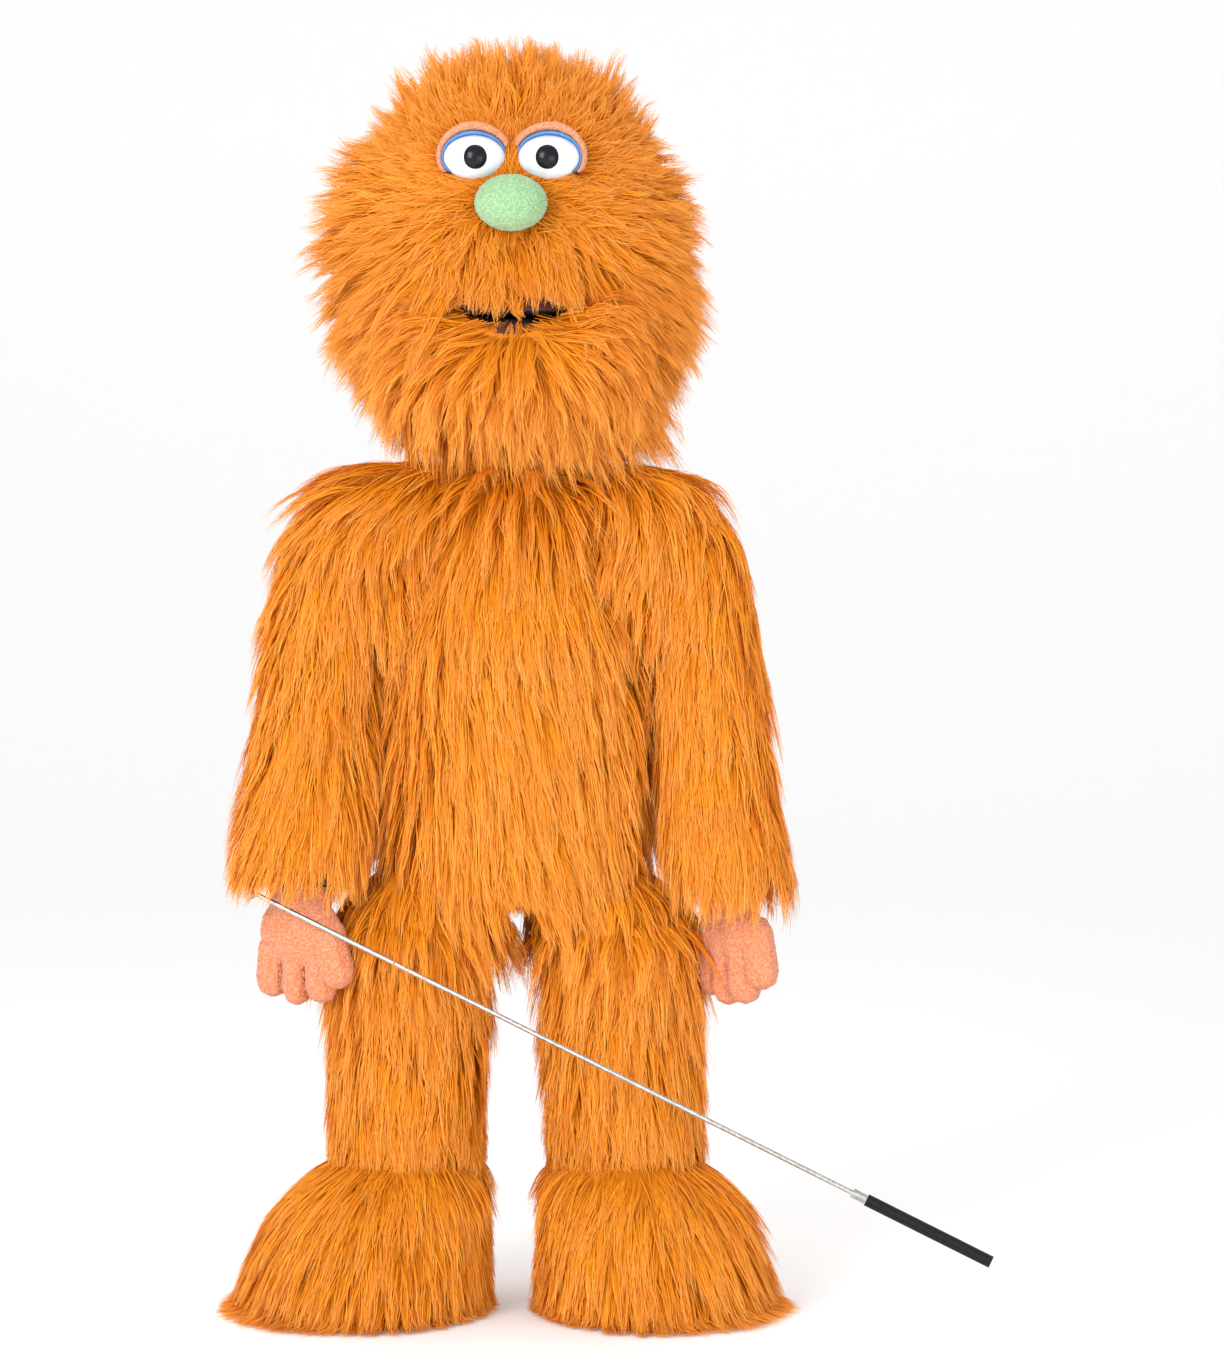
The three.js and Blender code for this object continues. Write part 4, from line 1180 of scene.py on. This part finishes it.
def lid_band(name, centre, side, sizes, ends, thick, depth, front, material, seed, rough):
    """A padded band over an eye, from the inner corner over the top to the outer corner.
    ends are angles from straight up; thick is its width at the inner end, top and outer end."""
    steps, turns = 120, 20
    points, faces = [], []
    for step in range(steps + 1):
        share = step / steps
        angle = math.radians(ends[0] + (ends[1] - ends[0]) * share)
        tall = float(np.interp(share, (0, 0.42, 1), thick))
        end = min(share, 1 - share) / 0.07
        tall *= math.sqrt(max(1 - (1 - min(end, 1)) ** 2, 0.02))
        back = 3.5 * abs(math.sin(angle)) ** 3
        for i in range(turns):
            turn = 2 * math.pi * i / turns
            out = tall * 0.5 * math.copysign(abs(math.cos(turn)) ** 0.8, math.cos(turn)) + tall * 0.5
            deep = depth * 0.5 * math.copysign(abs(math.sin(turn)) ** 0.7, math.sin(turn))
            points.append((centre[0] + side * (sizes[0] + out) * math.sin(angle),
                           front + back + depth * 0.5 + deep,
                           centre[2] + (sizes[1] + out) * math.cos(angle)))
    for step in range(steps):
        for i in range(turns):
            a, b = step * turns + i, step * turns + (i + 1) % turns
            face = (a, b, b + turns, a + turns)
            faces.append(face if side > 0 else face[::-1])
    faces.append(tuple(range(turns))[::-1] if side > 0 else tuple(range(turns)))
    last = [steps * turns + i for i in range(turns)]
    faces.append(tuple(last) if side > 0 else tuple(last[::-1]))
    band = mesh_object(name, [at(*p) for p in points], faces, material)
    push_out(band.data, fuzz(len(points), seed, rough))
    return band


satin_white = mottled_material("satin_white", (0.74, 0.79, 0.89), (0.83, 0.87, 0.94), 220, 0.42,
                               low=0.35, high=0.65, detail=4, bump=(0.12, 0.15))
gloss_black = mottled_material("gloss_black", (0.004, 0.004, 0.006), (0.012, 0.012, 0.016), 300, 0.3,
                               low=0.0, high=1.0, detail=2, bump=(0.0, 0.1))
black_shader = gloss_black.node_tree.nodes["Principled BSDF"]
black_shader.inputs["Specular IOR Level"].default_value = 0.12
black_shader.inputs["Coat Weight"].default_value = 0.2
black_shader.inputs["Coat Roughness"].default_value = 0.08
blue_felt = mottled_material("blue_felt", (0.06, 0.18, 0.45), (0.14, 0.36, 0.7), 900, 0.95,
                             detail=8, ragged=0.7, bump=(0.6, 0.4))

EYE_DOME = (17.8, 12.9, 12)
PUPIL = (7.0, 7.0, 3.2)
FELT_ENDS, FELT_THICK = (-78, 128), (1.9, 3.0, 2.2)
LID_ENDS, LID_THICK = (-68, 122), (4.0, 5.6, 2.4)

for side, eye in ((-1, "right"), (1, "left")):
    centre = (side * EYE_X, -80, EYE_Z)
    white = dome(eye + "_eye_dome", centre, EYE_DOME, 100, satin_white)
    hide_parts(eye + "_eye_white")
    pupil = dome(eye + "_pupil_dome", (side * 20.8, -90.2, 679.5), PUPIL, 92, gloss_black, rings=14,
                 turns=48)
    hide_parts(eye + "_pupil")
    felt = lid_band(eye + "_felt_rim", centre, side, (17.5, 12.7), FELT_ENDS, FELT_THICK, 14, -85,
                    blue_felt, 231 + side, 0.06)
    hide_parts(eye + "_inner_lid")
    lid = lid_band(eye + "_terry_lid", centre, side, (18.9, 15.3), LID_ENDS, LID_THICK, 17, -86.5,
                   coral_terry, 241 + side, 0.16)
    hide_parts(eye + "_outer_lid")
    for piece in (white, pupil, felt, lid):
        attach(piece, "head")


# ---- Hands ----
# Stuffed mitts of coral towelling with three sewn fingers and a thumb. They sit in the
# ends of the sleeves and swing a little at the wrist.

PALM_Z = 226
HAND_PLACES = {"right": (-127, -22, -30), "left": (129, -22, 122)}
SEAMS = (9.5, -5.5)
SEAM_WIDTH = 2.6
SEAM_DEPTH = 1.5


def sewn_fingers(mitt, side, hand):
    """Draws in the seams between the fingers, so that each finger is rounded."""
    x, y, turn = HAND_PLACES[hand]
    turn = math.radians(turn)
    places = read_points(mitt.data)[0]
    local = (places - np.array(origin)) / MM
    across = (local[:, 0] - x) * math.cos(turn) + (local[:, 1] - y) * math.sin(turn)
    drawn = np.zeros(len(places))
    for seam in SEAMS:
        drawn = drawn + np.exp(-((across - side * seam) / SEAM_WIDTH) ** 2)
    drawn = SEAM_DEPTH * drawn * blend_in(PALM_Z - local[:, 2], 0, 12)
    push_out(mitt.data, -drawn * MM)


for side, hand in ((-1, "right"), (1, "left")):
    mitt = soft_copy(hand + "_mitt", hand + "_hand", hand + "_hand", coral_terry, 0.8, 3, 1.5, 0.16,
                     251 + side)
    sewn_fingers(mitt, side, hand)


# ---- Neck, hem, strap and soles ----
# Dark cloth parts: a sleeve that joins the head to the body, the bound edge of the hand
# opening, the strap that holds the rod to the wrist, and the flat soles.

cloth_parts = {
    "neck_sleeve_cloth": ("neck_sleeve", "neck", 1.2, 0.12),
    "opening_binding": ("hand_opening_hem", "torso", 1.3, 0.12),
    "wrist_strap_webbing": ("wrist_strap", "right_hand", 0.7, 0.04),
    "right_sole_felt": ("right_sole", "right_shin", 1.2, 0.04),
    "left_sole_felt": ("left_sole", "left_shin", 1.2, 0.04)}
for number, (name, (node, body, voxel, rough)) in enumerate(cloth_parts.items()):
    cloth_part = soft_copy(name, node, body, dark_cloth, voxel, 3, 0.0, rough, 261 + number)


# ---- Arm rod ----
# A thin steel rod with a small pin at the wrist end, a grey ferrule, and a black grip.

grey_steel = mottled_material("grey_steel", (0.36, 0.36, 0.34), (0.62, 0.62, 0.6), 420, 0.38, metallic=1.0,
                              detail=5, bump=(0.2, 0.1))
black_grip = mottled_material("black_grip", (0.004, 0.004, 0.004), (0.014, 0.014, 0.013), 700, 0.55,
                              bump=(0.5, 0.3))
black_grip.node_tree.nodes["Principled BSDF"].inputs["Specular IOR Level"].default_value = 0.2

for node in ("arm_rod", "rod_pin", "rod_ferrule"):
    give_material(frame["nodes"][node].data, grey_steel)
give_material(frame["nodes"]["rod_handle"].data, black_grip)
